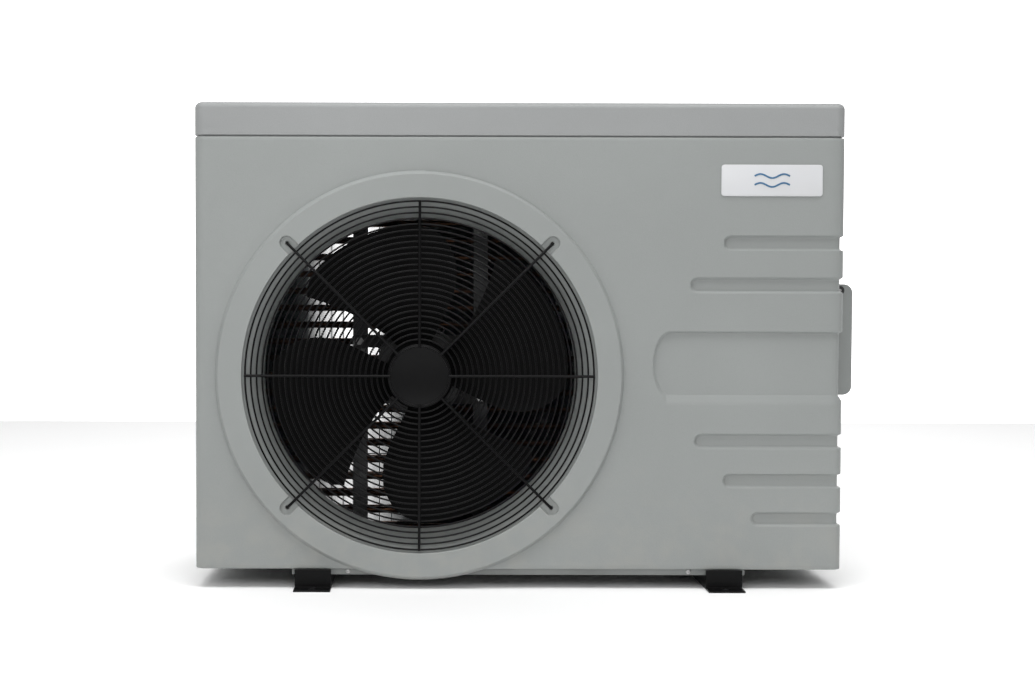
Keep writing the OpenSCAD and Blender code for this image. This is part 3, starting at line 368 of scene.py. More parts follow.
def pale_floor(name):
    """Plain studio floor with a trace of unevenness."""
    f = Finish(name)
    tone = f.blend(f.noise(0.8, 2.0), (0.93, 0.93, 0.93, 1.0), (0.96, 0.96, 0.96, 1.0))
    f.set(Base_Color=tone, Roughness=0.85)
    return f.material


SLOT_COLOURS = {m["slot"]: tuple(m["base_color"][:3]) for m in RECORD["materials"]}
FINISHES = {}


def build_finishes(casing, lid):
    """One finish for each of the record's material slots, and a few extra ones; the galvanised
    sheet, fins, copper and fan are darkened as painted shade of the dark interior.
    """
    c = SLOT_COLOURS
    FINISHES.update({
        "panel_grey": moulded_shell("grained grey casing", casing, 1100.0),
        "lid_grey": moulded_shell("grained light grey lid", lid, 1100.0),
        "pan_grey": powder_coat("dark grey coated pan", shade(c["pan_grey"], 1.1)),
        "black_steel": powder_coat("black coated steel", shade(c["black_steel"], 0.25), 0.30,
            600.0, shine=0.12),
        "zinc": plated("zinc plate", c["zinc"]),
        "badge_white": white_moulding("white badge", shade(c["badge_white"], 0.78), 0.28),
        # The fan's black polymer is darkened further, to 0.15 of its colour, as painted shade of
        # the throat behind the guard.
        "fan_black": moulded_black("black fan polymer", shade(c["fan_black"], 0.15), 0.55,
            shine=0.08),
        "shaft_steel": plated("ground shaft steel", c["shaft_steel"], 0.2),
        "motor_black": powder_coat("black motor paint", c["motor_black"], 0.4),
        # Galvanised bracket, partition and end plates darkened to 0.22 of their colour: painted
        # shade of the dark interior.
        "galvanised": galvanised("galvanised sheet", shade(c["galvanised"], 0.22)),
        # Blue coated fins darkened to 0.22 of their colour: painted shade of the interior.
        "fin_blue": fin_foil("blue coated fin foil", shade(c["fin_blue"], 0.22)),
        # Copper darkened to 0.35 of its colour: painted shade of the interior; the dark tarnish is
        # the copper's own.
        "copper": drawn_metal("drawn copper", shade(c["copper"], 0.35), (0.03, 0.02, 0.016, 1.0)),
        "brass": drawn_metal("machined brass", c["brass"], (0.25, 0.16, 0.07, 1.0)),
        "rubber_black": soft_rubber("black rubber", c["rubber_black"]),
        "black_plastic": moulded_black("black moulded fittings", c["black_plastic"], 0.40),
        "shell_white": white_moulding("ivory moulded shell", c["shell_white"]),
        "board_green": circuit_lacquer("green lacquered board", c["board_green"]),
        "display_glass": dark_glass("display glass", c["display_glass"]),
        "button_red": white_moulding("red button cap", c["button_red"], 0.5),
        "button_grey": white_moulding("grey button cap", c["button_grey"], 0.5),
        "segments": lit_segment("lit segments"),
        "wave_print": moulded_black("blue wave print", (0.05, 0.16, 0.30), 0.35),
    })


def paint(obj, slot):
    """Gives a piece one finish in all its slots."""
    material = FINISHES[slot]
    if not obj.material_slots:
        obj.data.materials.append(material)
    for holder in obj.material_slots:
        holder.material = material


# ---- Meshes ----

def add_object(name, mesh):
    obj = bpy.data.objects.new(name, mesh)
    bpy.context.scene.collection.objects.link(obj)
    return obj


def mesh_from(name, points, faces):
    mesh = bpy.data.meshes.new(name)
    mesh.from_pydata([tuple(p) for p in points], [], faces)
    mesh.update()
    return mesh


def object_from(shape, name):
    """A new object from an edited shape, which is then freed."""
    mesh = bpy.data.meshes.new(name)
    shape.to_mesh(mesh)
    shape.free()
    return add_object(name, mesh)


def merged(mesh, distance=2e-6):
    """An editable copy of a mesh without its doubled points."""
    shape = bmesh.new()
    shape.from_mesh(mesh)
    bmesh.ops.remove_doubles(shape, verts=shape.verts, dist=distance)
    return shape


def join_flat_faces(shape):
    bmesh.ops.dissolve_limit(shape, angle_limit=math.radians(0.4), verts=shape.verts,
        edges=shape.edges)


def apply_modifiers(obj):
    """Turns a piece with modifiers into a plain mesh."""
    graph = bpy.context.evaluated_depsgraph_get()
    mesh = bpy.data.meshes.new_from_object(obj.evaluated_get(graph), depsgraph=graph)
    obj.modifiers.clear()
    obj.data = mesh
    return obj


def smooth(obj, angle=32.0):
    """Smooth shading with the edges sharper than an angle kept sharp."""
    mesh = obj.data
    mesh.polygons.foreach_set("use_smooth", [True] * len(mesh.polygons))
    mesh.set_sharp_from_angle(angle=math.radians(angle))


def finish_piece(obj, body, slot, *nodes):
    """Rides with its body and replaces the plain nodes; the finish slot is not used."""
    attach(obj, body)
    if nodes:
        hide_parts(*nodes)


def bevelled(obj, width, segments, angle=34.0):
    """Rounds the edges sharper than an angle."""
    rounding = obj.modifiers.new("rounding", "BEVEL")
    rounding.width = width
    rounding.segments = segments
    rounding.limit_method = "ANGLE"
    rounding.angle_limit = math.radians(angle)
    rounding.use_clamp_overlap = False
    rounding.miter_outer = "MITER_ARC"
    return levelled(obj, 60.0)


def levelled(obj, angle):
    """Smooth curves beside flat faces that stay flat."""
    level = obj.modifiers.new("flat faces", "WEIGHTED_NORMAL")
    level.weight = 100
    level.keep_sharp = True
    smooth(obj, angle)
    return apply_modifiers(obj)


def body_of(node):
    for body, members in RECORD["behaviour"]["bodies"].items():
        if node in members:
            return body
    raise KeyError(node)


def held_within(obj, low, high):
    """Keeps a rounded edge from standing proud of its solid."""
    for vertex in obj.data.vertices:
        vertex.co = [min(max(c, a), b) for c, a, b in zip(vertex.co, low, high)]


def refined(node, name, slot, width):
    """A merged copy of a node with its edges rounded and its curves smooth."""
    shape = merged(NODES[node].data)
    if width > 0:
        join_flat_faces(shape)
    obj = object_from(shape, name)
    obj.data.materials.clear()
    if width > 0:
        bevelled(obj, width, 2)
    else:
        levelled(obj, 34.0)
    held_within(obj, *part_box(node))
    paint(obj, slot)
    finish_piece(obj, body_of(node), slot, node)


# ---- Geometry Nodes ----

class Growth(Board):
    """A Geometry Nodes tree with named inputs that ends in realised, painted geometry."""

    def __init__(self, name, **inputs):
        tree = bpy.data.node_groups.new(name, "GeometryNodeTree")
        super().__init__(tree)
        self.ids = {}
        for label, kind in {"Geometry": "Geometry", **inputs, "Material": "Material"}.items():
            socket = tree.interface.new_socket(label.replace("_", " "), in_out="INPUT",
                socket_type="NodeSocket" + kind)
            self.ids[label] = socket.identifier
        tree.interface.new_socket("Geometry", in_out="OUTPUT", socket_type="NodeSocketGeometry")
        self.start = tree.nodes.new("NodeGroupInput")
        self.end = tree.nodes.new("NodeGroupOutput")

    def given(self, label):
        return Value(self, self.start.outputs[label])

    def grow(self, kind, **inputs):
        """The first output of a Geometry Nodes node, named without its prefix."""
        sockets = {label.replace("_", " "): value for label, value in inputs.items()}
        return self.add("GeometryNode" + kind, {}, sockets).outputs[0]

    def vector(self, x=0.0, y=0.0, z=0.0):
        return self.add("ShaderNodeCombineXYZ", {}, {"X": x, "Y": y, "Z": z}).outputs[0]

    def copies(self, piece, step=(0.0, 0.0, 0.0), **inputs):
        """Counted copies of a piece, each one step on from the last."""
        seats = self.grow("MeshLine", Count=self.given("Count"), Offset=step)
        return self.grow("InstanceOnPoints", Points=seats, Instance=piece, **inputs)

    def close(self, geometry):
        solid = self.grow("RealizeInstances", Geometry=geometry)
        painted = self.grow("SetMaterial", Geometry=solid, Material=self.given("Material"))
        self.feed(self.end.inputs[0], painted)
        return self

    def close_as_wire(self, paths, sides=8):
        """Ends the tree with round wire along curves."""
        path = self.grow("RealizeInstances", Geometry=paths)
        ring = self.grow("CurvePrimitiveCircle", Resolution=sides,
            Radius=self.given("Thickness") * 0.5)
        return self.close(self.grow("CurveToMesh", Curve=path, Profile_Curve=ring,
            Fill_Caps=True))


def run_growth(obj, growth, **values):
    """Runs a tree on an object and keeps the result as a plain mesh."""
    modifier = obj.modifiers.new("growth", "NODES")
    modifier.node_group = growth.tree
    for label, value in values.items():
        modifier[growth.ids[label]] = value
    return apply_modifiers(obj)


def ring_growth():
    """Concentric wire rings in the XY plane."""
    g = Growth("concentric rings", Count="Int", Outer_Radius="Float", Pitch="Float",
        Thickness="Float")
    radius = g.given("Outer Radius") - Value(g, g.grow("InputIndex")) * g.given("Pitch")
    circle = g.grow("CurvePrimitiveCircle", Resolution=144, Radius=1.0)
    return g.close_as_wire(g.copies(circle, Scale=g.vector(radius, radius, 1.0)))


def spoke_growth():
    """Copies of a wire path turned evenly about Z."""
    g = Growth("turned wires", Count="Int", Thickness="Float")
    path = g.grow("MeshToCurve", Mesh=g.given("Geometry"))
    turn = Value(g, g.grow("InputIndex")) * (2 * math.pi / g.given("Count"))
    return g.close_as_wire(g.copies(path, Rotation=g.vector(z=turn)), 10)


def bar_growth():
    """Straight wires side by side."""
    g = Growth("wires side by side", Count="Int", Start="Vector", End="Vector", Step="Vector",
        Thickness="Float")
    line = g.grow("CurvePrimitiveLine", Start=g.given("Start"), End=g.given("End"))
    return g.close_as_wire(g.copies(line, g.given("Step")))


def row_growth():
    """Copies of the object's own mesh in a row."""
    g = Growth("plates in a row", Count="Int", Step="Vector")
    return g.close(g.copies(g.given("Geometry"), g.given("Step")))


def screw_growth():
    """Cross-recessed screw heads on points, each facing the point's own aim."""
    g = Growth("screw heads", Radius="Float", Height="Float")
    radius = g.given("Radius")
    height = g.given("Height")
    ball = g.grow("MeshUVSphere", Segments=24, Rings=12, Radius=radius)
    dome = g.grow("Transform", Geometry=ball, Scale=g.vector(1.0, 1.0, height / radius))
    cut = g.add("GeometryNodeMeshBoolean", {"operation": "DIFFERENCE"}, {"Mesh 1": dome})
    for along, across in ((1.05, 0.24), (0.24, 1.05)):
        bar = g.grow("MeshCube", Size=g.vector(radius * along, radius * across, height * 1.1))
        g.feed(cut.inputs["Mesh 2"],
            g.grow("Transform", Geometry=bar, Translation=g.vector(z=height)))
    aim = g.add("GeometryNodeInputNamedAttribute", {"data_type": "FLOAT_VECTOR"},
        {"Name": "aim"}).outputs[0]
    face = g.add("FunctionNodeAlignRotationToVector", {"axis": "Z"}, {"Vector": aim}).outputs[0]
    return g.close(g.grow("InstanceOnPoints", Points=g.given("Geometry"),
        Instance=cut.outputs[0], Rotation=face))


# ---- Simple shapes ----

def empty_piece(name):
    return add_object(name, bpy.data.meshes.new(name))


def wire_path(name, points):
    """An open line of edges through points."""
    obj = empty_piece(name)
    obj.data.from_pydata([tuple(p) for p in points],
        [(k, k + 1) for k in range(len(points) - 1)], [])
    return obj


def block(name, size, place, turn=0.0):
    """A box about a place, then turned about Z."""
    shape = bmesh.new()
    bmesh.ops.create_cube(shape, size=1.0)
    bmesh.ops.scale(shape, vec=size, verts=shape.verts)
    bmesh.ops.translate(shape, vec=place, verts=shape.verts)
    bmesh.ops.rotate(shape, matrix=Matrix.Rotation(turn, 3, "Z"), verts=shape.verts)
    return object_from(shape, name)


def outward(obj):
    """Merges doubled points and turns every face outwards."""
    shape = merged(obj.data, 1e-6)
    bmesh.ops.recalc_face_normals(shape, faces=shape.faces)
    shape.to_mesh(obj.data)
    shape.free()


def closed_piece(name, points, faces):
    """An object from points and faces, with its faces outwards."""
    obj = add_object(name, mesh_from(name, points, faces))
    outward(obj)
    return obj


def joined(name, parts):
    """One mesh object from several, all at the origin."""
    shape = bmesh.new()
    for part in parts:
        shape.from_mesh(part.data)
        bpy.data.objects.remove(part)
    return object_from(shape, name)


def stand_on_fan_axis(obj, y):
    """Turns a mesh made in XY to face the front, on the fan's axis."""
    turn = Matrix.Translation((FAN_AXIS.x, y, FAN_AXIS.z)) @ Matrix.Rotation(math.pi / 2, 4, "X")
    obj.data.transform(turn)
    obj.data.update()


def lathe(profile, segments):
    """A turned solid about Z from radius and height pairs that start and end on the axis."""
    points = []
    faces = []
    rows = profile[1:-1]
    for radius, height in rows:
        for k in range(segments):
            a = 2 * math.pi * k / segments
            points.append((radius * math.cos(a), radius * math.sin(a), height))
    for j in range(len(rows) - 1):
        for k in range(segments):
            n = (k + 1) % segments
            faces.append((j * segments + k, j * segments + n, (j + 1) * segments + n,
                (j + 1) * segments + k))
    points += [(0, 0, profile[0][1]), (0, 0, profile[-1][1])]
    first = len(points) - 2
    last = (len(rows) - 1) * segments
    for k in range(segments):
        n = (k + 1) % segments
        faces.append((n, k, first))
        faces.append((last + k, last + n, first + 1))
    return points, faces


# ---- Guard and fan ----

def make_guard(settings):
    """The wire guard over the fan."""
    steel = FINISHES["black_steel"]
    spoke = settings.spoke_wire
    outer = settings.guard_radius
    inner = outer - (settings.ring_count - 1) * settings.ring_pitch
    weld = 0.0004
    lift = (settings.ring_wire + spoke) / 2 - weld
    start = inner - 0.002
    end = outer + 0.001
    hook_foot = -0.004
    rings = run_growth(empty_piece("rings"), ring_growth(), Count=settings.ring_count,
        Outer_Radius=outer, Pitch=settings.ring_pitch, Thickness=settings.ring_wire,
        Material=steel)
    tip = settings.hook_radius
    bend = 0.004
    hook = [(start, 0, lift), (tip - bend, 0, lift)]
    hook += [(tip - bend + bend * math.sin(a), 0, lift - bend + bend * math.cos(a))
        for a in (math.radians(22.5 * k) for k in range(1, 4))]
    hook += [(tip, 0, lift - bend), (tip, 0, hook_foot)]
    diagonal = Matrix.Rotation(math.pi / 4, 4, "Z")
    parts = [rings, wire_path("cross", [(start, 0, lift), (end, 0, lift)]),
        wire_path("hooks", [diagonal @ Vector(p) for p in hook])]
    turned = spoke_growth()
    for part in parts[1:]:
        run_growth(part, turned, Count=4, Thickness=spoke, Material=steel)
    parts.append(guard_disc(inner, settings.ring_wire, steel))
    guard = joined("guard_wires", parts)
    stand_on_fan_axis(guard, settings.guard_plane)
    smooth(guard, 60.0)
    paint(guard, "black_steel")
    finish_piece(guard, "root", "black_steel", "fan_guard")


def guard_disc(inner, wire, steel):
    """The pressed centre plate with four raised arcs near its rim."""
    top = wire / 2
    edge = inner + wire * 0.2
    points, faces = lathe([(0, -top), (edge - 0.001, -top), (edge, 0), (edge - 0.0008, top),
        (edge - 0.004, top), (edge - 0.0065, top - 0.0008), (0, top - 0.0008)], 72)
    disc = add_object("disc", mesh_from("disc", points, faces))
    radius = edge - 0.0022
    arc_start, arc_sweep, steps = 9, 72, 14
    swept = [math.radians(arc_start + arc_sweep * k / steps) for k in range(steps + 1)]
    arcs = wire_path("arcs", [(radius * math.cos(a), radius * math.sin(a), top) for a in swept])
    run_growth(arcs, spoke_growth(), Count=4, Thickness=0.0022, Material=steel)
    return joined("centre_plate", [disc, arcs])


# Points along and across one blade, how far it starts inside the hub and stops short.
BLADE_ROWS = 16
BLADE_COLS = 18
BLADE_ROOT = 0.003
BLADE_TIP_GAP = 0.0003
# Degrees a blade spans at its root and gains further out, and how its middle leans and sweeps.
BLADE_SPAN = 58
BLADE_BULGE = 14
BLADE_LEAN = -4
BLADE_SWEEP = 13


def blade_points(settings, front):
    """One blade face as rows of points, from hub to tip; front is 1, and the back -1."""
    root = settings.hub_radius - BLADE_ROOT
    reach = FAN_HIGH.x - FAN_AXIS.x - BLADE_TIP_GAP - root
    grid = []
    for i in range(BLADE_ROWS + 1):
        s = i / BLADE_ROWS
        width = math.radians(BLADE_SPAN + BLADE_BULGE * math.sin(math.pi * min(1, s * 0.8)))
        sweep = math.radians(BLADE_LEAN + BLADE_SWEEP * s * s)
        depth = (0.62 + 0.33 * (1 - s)) * settings.blade_depth
        for j in range(BLADE_COLS + 1):
            t = j / BLADE_COLS
            rounding = (abs(2 * t - 1) ** 6) * 0.10
            radius = root + reach * s * (1 - rounding * s * s)
            angle = sweep + (0.5 - t) * width
            camber = 0.006 * math.sin(math.pi * t)
            half_thick = (0.0012 + 0.0016 * (1 - s)) * math.sin(math.pi * min(1, t + 0.08))
            z = settings.blade_depth / 2 + (t - 0.5) * depth * 0.96 - camber * (1 - 0.3 * s)
            z += front * half_thick
            grid.append((radius * math.cos(angle), radius * math.sin(angle), z))
    return grid


def make_blade(settings, angle):
    """One closed blade, turned about Z."""
    front = blade_points(settings, 1)
    turn = Matrix.Rotation(angle, 4, "Z")
    points = [turn @ Vector(p) for p in front + blade_points(settings, -1)]
    size = BLADE_COLS + 1
    shift = len(front)
    faces = []
    for i in range(BLADE_ROWS):
        for j in range(BLADE_COLS):
            a = i * size + j
            quad = (a, a + size, a + size + 1, a + 1)
            faces.append(quad)
            faces.append(tuple(q + shift for q in reversed(quad)))
    rim = [i * size for i in range(BLADE_ROWS + 1)]
    rim += [BLADE_ROWS * size + j for j in range(1, size)]
    rim += [i * size + BLADE_COLS for i in range(BLADE_ROWS - 1, -1, -1)]
    rim += [j for j in range(BLADE_COLS - 1, 0, -1)]
    for a, b in zip(rim, rim[1:] + rim[:1]):
        faces.append((a, b, b + shift, a + shift))
    return closed_piece("blade", points, faces)


def make_fan(settings):
    """The moulded fan: a domed hub with ribs, and swept blades."""
    parts = [make_blade(settings, math.radians(settings.blade_start
        + 360 * k / settings.blade_count)) for k in range(settings.blade_count)]
    hub = settings.hub_radius
    depth = FAN_HIGH.y - FAN_LOW.y
    points, faces = lathe([(0, 0.002), (hub - 0.004, 0.002), (hub - 0.001, 0.003), (hub, 0.006),
        (hub, depth - 0.012), (hub - 0.0015, depth - 0.007), (hub - 0.005, depth - 0.003),
        (hub - 0.012, depth - 0.001), (0.018, depth), (0, depth)], 64)
    parts.append(add_object("hub", mesh_from("hub", points, faces)))
    rib_count = 8
    parts += [block("rib", (hub * 0.55, 0.003, 0.0016), (hub * 0.60, 0, depth - 0.0012),
        2 * math.pi * k / rib_count) for k in range(rib_count)]
    fan = joined("fan_blades", parts)
    stand_on_fan_axis(fan, FAN_HIGH.y)
    smooth(fan, 40.0)
    paint(fan, "fan_black")
    finish_piece(fan, "fan_rotor", "fan_black", "fan")


# ---- Coil ----

def make_fins(settings):
    """The coil's thin foil fins, side by side."""
    waves = 10
    wave = 0.00018
    margin = 0.0004
    depth = FINS_HIGH.y - FINS_LOW.y
    lean = settings.fin_skew * depth
    points = []
    for k in range(waves + 1):
        y = FINS_LOW.y + depth * k / waves
        x = FINS_LOW.x + margin + wave * (1 if k % 2 else -1)
        x += settings.fin_skew * (FINS_HIGH.y - y)
        for side in (-settings.fin_thickness / 2, settings.fin_thickness / 2):
            points += [(x + side, y, FINS_LOW.z), (x + side, y, FINS_HIGH.z)]
    faces = []
    for a in range(0, 4 * waves, 4):
        b = a + 4
        faces += [(a, b, b + 1, a + 1), (a + 2, a + 3, b + 3, b + 2), (a, a + 2, b + 2, b),
            (a + 1, b + 1, b + 3, a + 3)]
    last = 4 * waves
    faces += [(0, 1, 3, 2), (last, last + 2, last + 3, last + 1)]
    fins = closed_piece("coil_fins", points, faces)
    count = int((FINS_HIGH.x - FINS_LOW.x - lean - 0.001) / settings.fin_pitch) + 1
    run_growth(fins, row_growth(), Count=count, Step=(settings.fin_pitch, 0.0, 0.0),
        Material=FINISHES["fin_blue"])
    finish_piece(fins, "root", "fin_blue", "evaporator_fins")


def make_net(settings):
    """The welded wire net behind the coil, inside a flat frame."""
    thick = settings.net_wire
    border = 0.010
    cell_shape = 3
    low = NET_LOW + Vector((border, 0, border))
    high = NET_HIGH - Vector((border, 0, border))
    y_in = NET_LOW.y + thick * 0.5
    y_out = y_in + thick * 0.9
    cols = round((high.x - low.x) / settings.net_pitch)
    rows = round((high.z - low.z) / (cell_shape * settings.net_pitch))
    step_x = (high.x - low.x) / cols
    step_z = (high.z - low.z) / rows
    grow = bar_growth()
    bars = (("upright", cols - 1, (low.x + step_x, y_in, low.z - border / 2),
            (low.x + step_x, y_in, high.z + border / 2), (step_x, 0.0, 0.0)),
        ("level", rows - 1, (low.x - border / 2, y_out, low.z + step_z),
            (high.x + border / 2, y_out, low.z + step_z), (0.0, 0.0, step_z)))
    parts = [run_growth(empty_piece(name), grow, Count=count, Start=start, End=end, Step=step,
        Thickness=thick, Material=FINISHES["black_steel"])
        for name, count, start, end, step in bars]
    points = [(x, y, z) for y in (NET_LOW.y, NET_HIGH.y)
        for a, b in ((NET_LOW, NET_HIGH), (low, high))
        for x, z in ((a.x, a.z), (b.x, a.z), (b.x, b.z), (a.x, b.z))]
    faces = []
    for k in range(4):
        n = (k + 1) % 4
        faces += [(k, n, 4 + n, 4 + k), (8 + k, 12 + k, 12 + n, 8 + n), (k, 8 + k, 8 + n, n),
            (4 + k, 4 + n, 12 + n, 12 + k)]
    rim = closed_piece("rim", points, faces)
    bevelled(rim, 0.0008, 2)
    net = joined("coil_net", parts + [rim])
    smooth(net, 50.0)
    paint(net, "black_steel")
    finish_piece(net, "root", "black_steel", "coil_guard")


# ---- Screws, badge and display ----

def screw_seats(node):
    """The box of each separate screw head in a node."""
    shape = merged(NODES[node].data, 1e-5)
    seats = []
    left = set(shape.verts)
    while left:
        group = set()
        todo = [left.pop()]
        while todo:
            vert = todo.pop()
            group.add(vert)
            for other in (edge.other_vert(vert) for edge in vert.link_edges):
                if other in left:
                    left.discard(other)
                    todo.append(other)
        seats.append([Vector([end(v.co[k] for v in group) for k in range(3)])
            for end in (min, max)])
    shape.free()
    return seats


def make_screws(settings):
    """The visible screw heads of the casing and the pan."""
    grow = screw_growth()
    height = 0.0019
    pan_lip = 0.002
    for node, name, radius in (("casing_screws", "casing_screw_heads", settings.screw_radius),
            ("pan_screws", "pan_screw_heads", settings.screw_radius * 0.9)):
        points = []
        aims = []
        for low, high in screw_seats(node):
            middle = (low + high) / 2
            if node == "pan_screws":
                aim = (0, -1, 0)
                seat = (middle.x, low.y + pan_lip, middle.z)
            elif high.x - low.x < high.y - low.y:
                aim = (1 if middle.x > 0 else -1, 0, 0)
                seat = (low.x if middle.x > 0 else high.x, middle.y, middle.z)
            else:
                aim = (0, 1, 0)
                seat = (middle.x, low.y, middle.z)
            points.append(seat)
            aims += aim
        heads = add_object(name, mesh_from(name, points, []))
        store = heads.data.attributes.new("aim", "FLOAT_VECTOR", "POINT")
        store.data.foreach_set("vector", aims)
        run_growth(heads, grow, Radius=radius, Height=height, Material=FINISHES["zinc"])
        smooth(heads, 35.0)
        finish_piece(heads, "root", "zinc", node)


def make_badge(settings):
    """A plain badge plate with two raised waves."""
    x = (BADGE_LOW.x + BADGE_HIGH.x) / 2
    z = (BADGE_LOW.z + BADGE_HIGH.z) / 2
    radius = settings.badge_corner
    reach_x = (BADGE_HIGH.x - BADGE_LOW.x) / 2 - radius
    reach_z = (BADGE_HIGH.z - BADGE_LOW.z) / 2 - radius
    face = FRONT_FACE - settings.badge_thickness
    outline = []
    for cx, cz, start in ((1, -1, -90), (1, 1, 0), (-1, 1, 90), (-1, -1, 180)):
        for a in (math.radians(start + 15 * k) for k in range(7)):
            outline.append((x + cx * reach_x + radius * math.cos(a),
                z + cz * reach_z + radius * math.sin(a)))
    count = len(outline)
    points = [(px, y, pz) for y in (BADGE_HIGH.y, face) for px, pz in outline]
    faces = [tuple(range(count)), tuple(range(2 * count - 1, count - 1, -1))]
    for k in range(count):
        n = (k + 1) % count
        faces.append((k, k + count, n + count, n))
    plate = closed_piece("badge_plate", points, faces)
    bevelled(plate, 0.0006, 3)
    smooth(plate)
    paint(plate, "badge_white")
    finish_piece(plate, "root", "badge_white", "badge")
    waves, steps, raised = 1.5, 24, 0.00045
    lines = []
    for row in (-1, 1):
        path = [(x + settings.wave_width * (k / steps - 0.5), face, z + row * settings.wave_gap / 2
            + settings.wave_rise * math.sin(2 * math.pi * waves * k / steps))
            for k in range(steps + 1)]
        lines.append(ribbon(path, settings.wave_rise * 0.9, raised))
    icon = joined("badge_waves", lines)
    smooth(icon, 50.0)
    paint(icon, "wave_print")
    finish_piece(icon, "root", "badge_white")


def ribbon(path, width, height):
    """A raised flat line along a path in the XZ plane that faces the front."""
    points = []
    faces = []
    lift = Vector((0, -height, 0))
    for k, place in enumerate(path):
        p = Vector(place)
        along = (Vector(path[min(k + 1, len(path) - 1)]) - Vector(path[max(k - 1, 0)])).normalized()
        side = Vector((-along.z, 0, along.x)) * width / 2
        points += [p + side, p + side * 0.8 + lift, p - side * 0.8 + lift, p - side]
    for k in range(len(path) - 1):
        for j in range(4):
            n = (j + 1) % 4
            faces.append((4 * k + j, 4 * k + n, 4 * k + 4 + n, 4 * k + 4 + j))
    last = 4 * (len(path) - 1)
    faces += [(0, 1, 2, 3), (last, last + 3, last + 2, last + 1)]
    return closed_piece("ribbon", points, faces)


# Each segment's place across and up a digit, and whether it lies level.
SEGMENT_PLACES = {
    "a": (0, 1, True), "b": (0.5, 0.5, False), "c": (0.5, -0.5, False), "d": (0, -1, True),
    "e": (-0.5, -0.5, False), "f": (-0.5, 0.5, False), "g": (0, 0, True),
}
# The digits shown: place beside the middle, and lit segments.
LIT_DIGITS = ((-1, "abged"), (1, "abcdefg"))


def make_display():
    """Lit two-digit temperature behind the display glass."""
    middle_y = (WINDOW_LOW.y + WINDOW_HIGH.y) / 2
    middle_z = (WINDOW_LOW.z + WINDOW_HIGH.z) / 2
    size = (WINDOW_HIGH.z - WINDOW_LOW.z) * 0.32
    spread = size * 0.95
    long, short, thick = size * 0.84, size * 0.14, 0.0002
    parts = []
    for place, lit in LIT_DIGITS:
        centre = middle_y + place * spread
        for dy, dz, level in (SEGMENT_PLACES[letter] for letter in lit):
            shape = (thick, long, short) if level else (thick, short, long)
            parts.append(block("segment", shape,
                (WINDOW_HIGH.x + thick / 2, centre + dy * size, middle_z + dz * size)))
    digits = joined("display_digits", parts)
    paint(digits, "segments")
    finish_piece(digits, "root", "display_glass")


# ---- Front panel ----

# Grooves of the front panel: centre height, height and start measured back from the right.
GROOVES = ((0.4546, 0.018, 0.158), (0.3998, 0.018, 0.201), (0.1953, 0.017, 0.1945),
    (0.143, 0.017, 0.1565), (0.0928, 0.016, 0.119))
# Where the last groove's round end is over, measured back from the right.
PRESSING_ENDS = 0.098
# Spacing of the front wall's points over each kind of surface.
SPACING = {"groove edge": 0.0011, "recess edge": 0.0012, "pressed end": 0.0018, "groove": 0.002,
    "corner": 0.002, "recess": 0.0024, "plain row": 0.007, "plain column": 0.010}


def walk(low, high, step_at, settings):
    """Stations from low to high whose spacing follows step_at."""
    values = [low]
    while values[-1] < high - 1e-6:
        values.append(min(high, values[-1] + step_at(values[-1], settings)))
    return values


def capsule_gap(u, z, groove, settings):
    """Distance outside a groove's outline, negative inside."""
    middle, height, start = groove
    first = settings.casing_width / 2 - start + height / 2
    return math.hypot(max(0.0, first - u), z - middle) - height / 2


def recess_gap(u, z, settings):
    """Distance outside the wide recess, negative inside."""
    half = settings.recess_height / 2
    first = settings.casing_width / 2 - settings.recess_start + settings.recess_end
    rise = z - settings.recess_middle
    if u >= first:
        return abs(rise) - half
    run = (u - first) / settings.recess_end
    rise = rise / half
    size = max(math.hypot(run, rise), 1e-6)
    slope = math.hypot(run / settings.recess_end, rise / half) / size
    return (size - 1) / max(slope, 1e-6)


def sunk(u, z, settings):
    """How deep the front panel is pressed in at one place."""
    gap = min([capsule_gap(u, z, groove, settings) for groove in GROOVES]
        + [recess_gap(u, z, settings)])
    soft = settings.groove_soft
    t = min(1.0, max(0.0, (0.4 * soft - gap) / soft))
    return settings.groove_depth * t * t * (3 - 2 * t)


def round_the_corner(u, z, inset, settings):
    """Point of the panel at a distance u along its plan, pressed in by inset."""
    corner = settings.casing_corner
    flat = settings.casing_width / 2 - corner
    side = math.copysign(1.0, u)
    past = abs(u) - flat
    if past <= 0:
        return Vector((u, FRONT_FACE + inset, z))
    if past <= corner * math.pi / 2:
        t = past / corner
        reach = corner - inset
        return Vector((side * (flat + reach * math.sin(t)),
            FRONT_FACE + corner - reach * math.cos(t), z))
    along = FRONT_FACE + corner + past - corner * math.pi / 2
    return Vector((side * (flat + corner - inset), along, z))


def panel_edge(places, radius, wall):
    """Stations with a rolled edge at both ends, as place and inset pairs."""
    low, high = places[0], places[-1]
    turn = [(0.0, wall), (0.0, radius), (0.29 * radius, 0.29 * radius)]
    inner = [(place, 0.0) for place in places if low + radius < place < high - radius]
    start = [(low + a, b) for a, b in turn] + [(low + radius, 0.0)]
    end = [(high - radius, 0.0)] + [(high - a, b) for a, b in reversed(turn)]
    return start + inner + end


def row_step(z, settings):
    """Spacing of the front's points at one height, close over grooves and the recess."""
    low = settings.recess_middle - settings.recess_height / 2
    high = settings.recess_middle + settings.recess_height / 2
    edges = [middle + side * height / 2 for middle, height, start in GROOVES for side in (-1, 1)]
    if any(abs(z + 0.001 - edge) < 0.0045 for edge in edges):
        return SPACING["groove edge"]
    if low - 0.004 < z < high + 0.004:
        near = min(abs(z - low), abs(z - high)) < 0.012
        return SPACING["recess edge" if near else "recess"]
    if any(abs(z - middle) < height for middle, height, start in GROOVES):
        return SPACING["groove"]
    return SPACING["plain row"]


def column_step(u, settings):
    """Spacing of the front's points along its plan, close at the pressings and corners."""
    half = settings.casing_width / 2
    corner = settings.casing_corner
    if half - settings.recess_start - 0.006 < u < half - PRESSING_ENDS:
        return SPACING["pressed end"]
    if half - corner - 0.002 < abs(u) < half + corner:
        return SPACING["corner"]
    return SPACING["plain column"]


